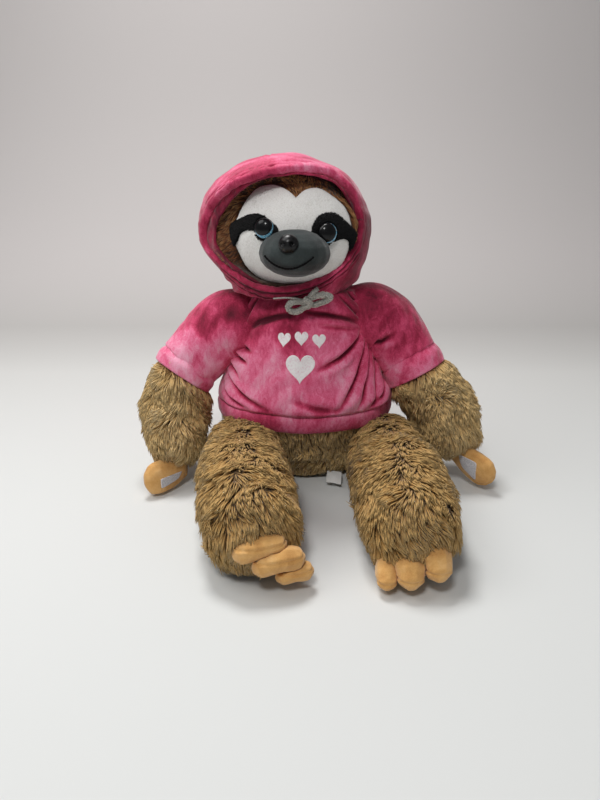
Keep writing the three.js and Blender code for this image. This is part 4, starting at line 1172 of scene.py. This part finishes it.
def inside_loop(beside, above, loop):
    """Whether each place lies inside a closed line."""
    inside = np.zeros(len(beside), bool)
    for (x0, y0), (x1, y1) in zip(loop, np.roll(loop, -1, axis=0)):
        crosses = (y0 > above) != (y1 > above)
        inside ^= crosses & (beside < (x1 - x0) * (above - y0) / (y1 - y0 + 1e-12) + x0)
    return inside


def on_face(roots):
    """Places on the face as seen straight ahead of it."""
    apart = (roots - face_centre) @ np.array(Matrix.Rotation(-face_turn, 3, "Z"))
    return apart[:, 0], apart[:, 2]


def make_head(seed):
    skin = stuffed("head_skin", "head", shaded_head_back, 3.5 * MM, 5)
    for vert in skin.data.vertices:
        vert.co.x = settled(np.array([vert.co]))[0, 0]

    def keep(roots, out):
        bare = inside_loop(*on_face(roots), face_edge * 0.97)
        return within_opening(roots, np.array([25, 8, 17, 5]) * MM) & ~bare & (out[:, 1] < 0.2)

    def forelock(roots):
        """How far a root belongs to the forelock or the fringe beside it."""
        beside, above = on_face(roots)
        top = step_up(above, 34 * MM, 46 * MM)
        return top * bell(beside - face_edge[0, 0], 18 * MM), top

    def length(roots):
        lock, top = forelock(roots)
        return (15 - 9 * top + 7 * lock) * MM

    def flow(roots, out):
        lock = forelock(roots)[0][:, None]
        outward = unit((roots - face_centre) * (1, 0, 0.7)) + np.array([0, -0.4, -0.3])
        drawn = (face_edge[0, 0] - on_face(roots)[0]) / (22 * MM)
        gathered = np.column_stack([drawn, np.full(len(roots), -0.3), np.full(len(roots), -1.2)])
        return outward * (1 - lock) + gathered * lock

    pile = fur("head_fur", skin, inner_shag, 30000, length, 0.7 * MM, flow, keep, seed, lift=0.4, droop=0.2,
               clump=0.5, clump_size=4 * MM, wander=0.3)
    dress(pile, "head", "fur")
    dress(skin, "head", "fur", "head")


def soft_piece(node, body, slot, material, cell, smoothings):
    piece = stuffed(node + "_soft", node, material, cell, smoothings)
    dress(piece, body, slot, node)
    return piece


def face_spot(beside, above, grow=0.0):
    """A spot on the face straight ahead of a place beside and above its middle, and the way out there."""
    return dome_spot(face_centre, face_half_sizes + grow, -face_turn, beside, above)


def dome_spot(centre, sizes, turn, beside, above):
    a, b, c = sizes
    ahead = b * np.sqrt(np.maximum(1 - (beside / a) ** 2 - (above / c) ** 2, 0))
    spin = np.array(Matrix.Rotation(turn, 3, "Z"))
    spots = np.stack([beside, -ahead, above], axis=-1)
    out = unit(np.stack([beside / a**2, -ahead / b**2, above / c**2], axis=-1))
    return centre + spots @ spin.T, out @ spin.T


def cap_form(seat, out, radius, rise, lip):
    """A domed cap: v runs from its back edge to the middle of its front."""
    across = unit(np.cross(out, UP))
    up = np.cross(across, out)

    def place(u, v):
        angle = np.clip((v - 0.08) / 0.92, 0, 1) * math.pi / 2
        size = radius * np.cos(angle)
        height = rise * np.sin(angle) - lip * np.clip(1 - v / 0.08, 0, 1)
        turn = 2 * math.pi * u
        return (seat + np.outer(height, out) - np.outer(size * np.cos(turn), across)
                + np.outer(size * np.sin(turn), up))

    return place


# The eyes stand off the face by its pile and a little more, in metres and in millimetres
face_pile_height = 2.2 * MM
eye_lift = 0.8
eye_radius = 10.5 * MM
eye_rise = 7 * MM
eye_lip = 2 * MM


def make_eyes():
    for side, (beside, above, shift) in eye_places.items():
        spot, out = face_spot(np.array([beside]), np.array([above]), face_pile_height)
        seat = spot[0] + out[0] * eye_lift * MM
        form = cap_form(seat, out[0], eye_radius, eye_rise, eye_lip)
        eye = shaped(f"eye_dome_{side}", 96, 48, form, eye_finish(f"glitter_eye_{side}", shift))
        dress(eye, "head", "glitter", f"eye_{side}")


smile_half_width = 25 * MM
# The smile's sag as a share of the muzzle's half height, and its lift off the muzzle in millimetres
smile_sag = 0.45
smile_lift = 1.6
thread_radius = 1.1 * MM
stitch_length = 3.2 * MM


def make_smile():
    t = np.linspace(-1, 1, 25)
    above = muzzle_half_sizes[2] * (-smile_sag + smile_sag * t**2)
    line, out = dome_spot(muzzle_centre, muzzle_half_sizes, -muzzle_turn, smile_half_width * t, above)
    form = stitched(line + out * smile_lift * MM, thread_radius, stitch_length)
    smile = shaped("smile", 10, 220, form, black_thread)
    dress(smile, "head", "thread", "mouth_stitch")


def stitched(line, radius, stitch, depth=0.3):
    """A thread along a line, pinched between its stitches."""
    route = Route(line)

    def place(u, v):
        share = np.clip((v - 0.01) / 0.98, 0, 1)
        end = np.sin(math.pi * np.clip(np.minimum(v, 1 - v) / 0.02, 0, 1) / 2)
        pinch = 1 - depth * np.abs(np.cos(math.pi * share * route.length / stitch)) ** 8
        size = radius * pinch * end
        way = route.way(share)
        across = unit(np.cross(UP, way))
        over = np.cross(way, across)
        turn = 2 * math.pi * u
        return ringed(route.at(share), across, over, size, turn)

    return place


# Bow, label and print

# The tied cord: each run's places beside and above, how far forward it lies, and its radius
bow_runs = {
    "left_loop": ([(1.7, 226.4), (-5, 227.2), (-12, 227.2), (-17.6, 224.4), (-19.2, 219.8), (-15.6, 215.8),
                   (-9.6, 215.2), (-3.6, 218.4), (1.7, 223.6)], 76, 2.8),
    "right_loop": ([(2.7, 225.4), (9.3, 223.6), (17, 226.4), (24, 229.8), (27, 233.4), (22, 235.8),
                    (14, 235.2), (6.5, 231.8), (2.7, 228)], 77, 2.7),
    "tail": ([(2.7, 228.9), (5.4, 234.4), (9.3, 239.2), (13.5, 242)], 77, 2.2),
    "string": ([(0.5, 227.6), (-10.4, 231), (-22.4, 231.8), (-35.5, 230.4)], 75, 0.9),
    "knot": ([(-0.8, 231.5), (3.2, 229), (4.6, 225.5), (2.2, 221.8)], 80, 3.0),
}


def make_bow(seed):
    outward = lambda roots, out: out + np.array([0, 0, -0.3])
    nodes = ["drawstring"]
    for number, (name, (places, ahead, radius)) in enumerate(bow_runs.items()):
        flat = np.array(places)
        bulge = 2 * np.sin(np.linspace(0, math.pi, len(flat)))
        lean = 0.45 * np.clip(229 - flat[:, 1], -8, 14)
        line = np.column_stack([flat[:, 0], lean - ahead - bulge, flat[:, 1] - 1.6]) * MM
        cord = shaped(f"bow_{name}", 14, 90, stitched(line, radius * MM, 3 * MM, 0.12), plush_cord)
        count = int(10 * radius * Route(line).length / MM)
        fuzz = fur(f"bow_fuzz_{name}", cord, chenille, count, 0.9 * radius * MM, 0.38 * MM, outward, None,
                   seed + number, lift=0.9, droop=0.1, clump=0.8, clump_size=2.6 * MM, wander=0.8,
                   sink=0.3 * MM)
        dress(fuzz, "head", "cord")
        dress(cord, "head", "cord", *nodes)
        nodes = []


def make_label():
    """A bare white label of folded tape, lying between the legs."""
    corners = np.array([(28, -51, 6), (46, -56, 7), (44, -79, 1.2), (26, -74, 1.2)]) * MM

    def place(u, v):
        over = np.clip(2 * v, 0, 1)[:, None]
        under = np.clip(2 * v - 1, 0, 1)[:, None]
        first = corners[0] * (1 - over) + corners[3] * over
        second = corners[1] * (1 - over) + corners[2] * over
        first = first + (corners[0] - corners[3]) * under
        second = second + (corners[1] - corners[2]) * under
        spots = first * (1 - u[:, None]) + second * u[:, None]
        lift = 0.5 - 0.8 * np.clip(2 * v - 1, 0, 1)
        crumple = 0.5 * np.sin(u * 5) + 1.6 * np.sin(u * 3.1) * np.sin(over[:, 0] * 3.1)
        spots[:, 2] += lift * MM + crumple * MM
        return spots

    dress(shaped("label_tape", 24, 40, place, label_cloth), "torso", "label", "sewn_label")


def heart(turn):
    """The outline of a heart about one unit wide."""
    across = 16 * np.sin(turn) ** 3
    up = 13 * np.cos(turn) - 5 * np.cos(2 * turn) - 2 * np.cos(3 * turn) - np.cos(4 * turn)
    return across / 32, (up + 2) / 32


def make_print():
    for number, (beside, height, size) in enumerate(print_hearts):
        def place(u, v):
            across, up = heart(2 * math.pi * u)
            middle = math.radians(270) + beside / trunk_reach
            turn = middle + across * v * size / trunk_reach
            level = height + up * v * size
            ink = 0.5 * MM * np.clip((1 - v) / 0.04, 0, 1) ** 0.5 - 0.1 * MM
            return on_trunk(turn, level, top_grow(turn, level) + ink)

        ink = shaped(f"print_heart_{number + 1}", 120, 40, place, white_print)
        dress(ink, "torso", "velour")


# Paws and toes

# The hook pad's corners on each palm: outer and inner above, then inner and outer below
palm_corners = {
    "right": np.array([(-171, -99, 19), (-149, -74, 18), (-153, -81, 11), (-170, -101, 7)]) * MM,
    "left": np.array([(205, -86, 34), (186, -68, 38), (191, -72, 22), (206, -84, 9)]) * MM,
}


# The way across each paw's seam, and how far above its middle each toe's seam runs
paw_across = {"right": np.array([0.55, -0.8, 0.25]), "left": np.array([-0.6, -0.75, 0.25])}
toe_seams = {"right": 4 * MM, "left": -3 * MM}


def make_palm(side, paw):
    """The pad of hook tape, lying on the skin of the palm."""
    skin = BVHTree.FromPolygons([v.co for v in paw.data.vertices], [p.vertices for p in paw.data.polygons])
    first, second, third, fourth = palm_corners[side]

    def spot(beside, above):
        s, t = beside[:, None], above[:, None]
        flat = (first * (1 - s) + second * s) * t + (fourth * (1 - s) + third * s) * (1 - t)
        found = [skin.find_nearest(place)[:2] for place in flat]
        return np.array([place for place, out in found]), np.array([out for place, out in found])

    def edge(u, share):
        beside, above = band_section(u, 0.5, 0.5, 0.25)
        return np.stack([0.5 + beside * share, 0.5 + above * share], axis=-1)

    pad = shaped(f"palm_pad_{side}", 80, 40, skin_over(spot, edge, 1.0 * MM, 0.6 * MM), hook_tape)
    dress(pad, f"paw_{side}", "hook_tape", f"palm_patch_{side}")


def sewn(piece, across, offset):
    """A seam drawn in round a stuffed piece, in a plane across the given way, so far from its middle."""
    spots = np.array([v.co for v in piece.data.vertices])
    normals = np.array([v.normal for v in piece.data.vertices])
    apart = (spots - (spots.min(axis=0) + spots.max(axis=0)) / 2) @ across - offset
    groove = 0.9 * MM * bell(apart, 0.9 * MM) - 0.35 * MM * bell(np.abs(apart) - 2.4 * MM, 1.2 * MM)
    piece.data.vertices.foreach_set("co", (spots - normals * groove[:, None]).astype(np.float32).ravel())
    piece.data.update()


# Fur pieces

def way_down(roots, out):
    """Down the skin under its own weight."""
    return -np.tile(UP, (len(roots), 1))


def along_limb(route, along, down):
    """Fur that lies along a limb and falls to both sides of its ridge."""
    ways = route.way(np.linspace(0, 1, 40))
    marks = route.at(np.linspace(0, 1, 40))

    def flow(roots, out):
        way = ways[nearest(roots, marks)]
        return way * along + tidy(-np.tile(UP, (len(roots), 1)), out) * down

    return flow


def leg_route(side, across):
    low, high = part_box("leg_" + side)
    return Route([(across[k], high.y + (low.y - high.y) * share, 44 * MM)
                  for k, share in enumerate((0.0, 0.3, 0.6, 1.0))])


leg_routes = {
    "right": leg_route("right", np.array([-75, -72, -64, -52]) * MM),
    "left": leg_route("left", np.array([96, 98, 101, 100]) * MM),
}
arm_routes = {
    "right": Route(np.array([
        (-137, -8, 150), (-151, -16, 124), (-158, -22, 100), (-161, -34, 75), (-158, -55, 47),
    ]) * MM),
    "left": Route(np.array([
        (121, -8, 155), (137, -18, 126), (155, -24, 106), (172, -35, 82), (182, -49, 57),
    ]) * MM),
}


def make_leg(side, seed):
    skin = stuffed(f"leg_skin_{side}", f"leg_{side}", shaded_fur_back, 4 * MM)
    flow = along_limb(leg_routes[side], 0.4, 1.0)
    clear = lambda roots, out: (roots[:, 2] > 2.5 * MM) & (out[:, 2] > -0.92)
    low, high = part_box(f"leg_{side}")
    for half, (near, far) in enumerate(((0.0, 0.52), (0.46, 1.0))):
        front = high.y + (low.y - high.y) * far
        back = high.y + (low.y - high.y) * near
        keep = lambda roots, out: clear(roots, out) & (roots[:, 1] < back + MM) & (roots[:, 1] > front - MM)
        pile = fur(f"leg_fur_{side}_{half + 1}", skin, leg_shag, 20000, 21 * MM, 1.12 * MM, flow, keep,
                   seed + half, lift=0.44, droop=0.3, clump=0.6, clump_size=7 * MM, wander=0.7)
        dress(pile, f"leg_{side}", "fur")
    dress(skin, f"leg_{side}", "fur", f"leg_{side}")


def make_arm(side, seed):
    skin = stuffed(f"arm_skin_{side}", f"arm_{side}", shaded_fur_back, 4 * MM)
    flow = along_limb(arm_routes[side], 0.8, 0.6)
    cuff = cuff_routes[side][2]
    way = unit(cuff_routes[side][2] - cuff_routes[side][0])
    keep = lambda roots, out: (roots - cuff) @ way > -1 * MM
    pile = fur(f"arm_fur_{side}", skin, fur_shag, 22000, 24 * MM, 1.22 * MM, flow, keep, seed, lift=0.55,
               droop=0.3, clump=0.6, clump_size=7 * MM, wander=0.7)
    dress(pile, f"arm_{side}", "fur")
    dress(skin, f"arm_{side}", "fur", f"arm_{side}")


# The body's fur grows between these heights, and not under its middle
body_fur_foot = 3 * MM
body_fur_top = 84 * MM
bare_underside = 40 * MM


def make_body(seed):
    skin = stuffed("body_skin", "body", shaded_fur_back, 5 * MM)

    def keep(roots, out):
        shown = (roots[:, 2] < body_fur_top) & (roots[:, 2] > body_fur_foot)
        return shown & (np.hypot(roots[:, 0], roots[:, 1]) > bare_underside)

    pile = fur("body_fur", skin, fur_shag, 24000, 21 * MM, 1.2 * MM, way_down, keep, seed,
               lift=0.45, wander=0.5)
    dress(pile, "torso", "fur")
    dress(skin, "torso", "fur", "body")


set_camera()
set_lights()
set_stage()
for number, side in enumerate(("right", "left")):
    make_leg(side, 11 + number * 10)
    make_arm(side, 51 + number * 10)
make_body(91)
make_top()
make_print()
make_hem(137)
for number, side in enumerate(("right", "left")):
    make_sleeve(side, 141 + number * 10)
    make_cuff(side, 161 + number * 10)
make_hood(181)
make_lining(185)
make_rim(187)
make_head(191)
make_face(201)
make_eyes()
make_smile()
make_bow(221)
make_label()
soft_piece("nose", "head", "nose", black_nose, 0.7 * MM, 3)
for node in ("eye_washer_right", "eye_washer_left", "nose_washer"):
    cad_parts[node].material_slots[0].material = grey_plastic
soft_piece("muzzle", "head", "grey_suede", grey_suede, 1.5 * MM, 5)
for side in ("right", "left"):
    paw = soft_piece(f"paw_{side}", f"paw_{side}", "tan_suede", tan_suede, 1.1 * MM, 8)
    sewn(paw, paw_across[side], 0.0)
    make_palm(side, paw)
    for number in (1, 2, 3):
        toe = soft_piece(f"toe_{side}_{number}", f"leg_{side}", "tan_suede", tan_suede, 1.0 * MM, 8)
        sewn(toe, UP, toe_seams[side])
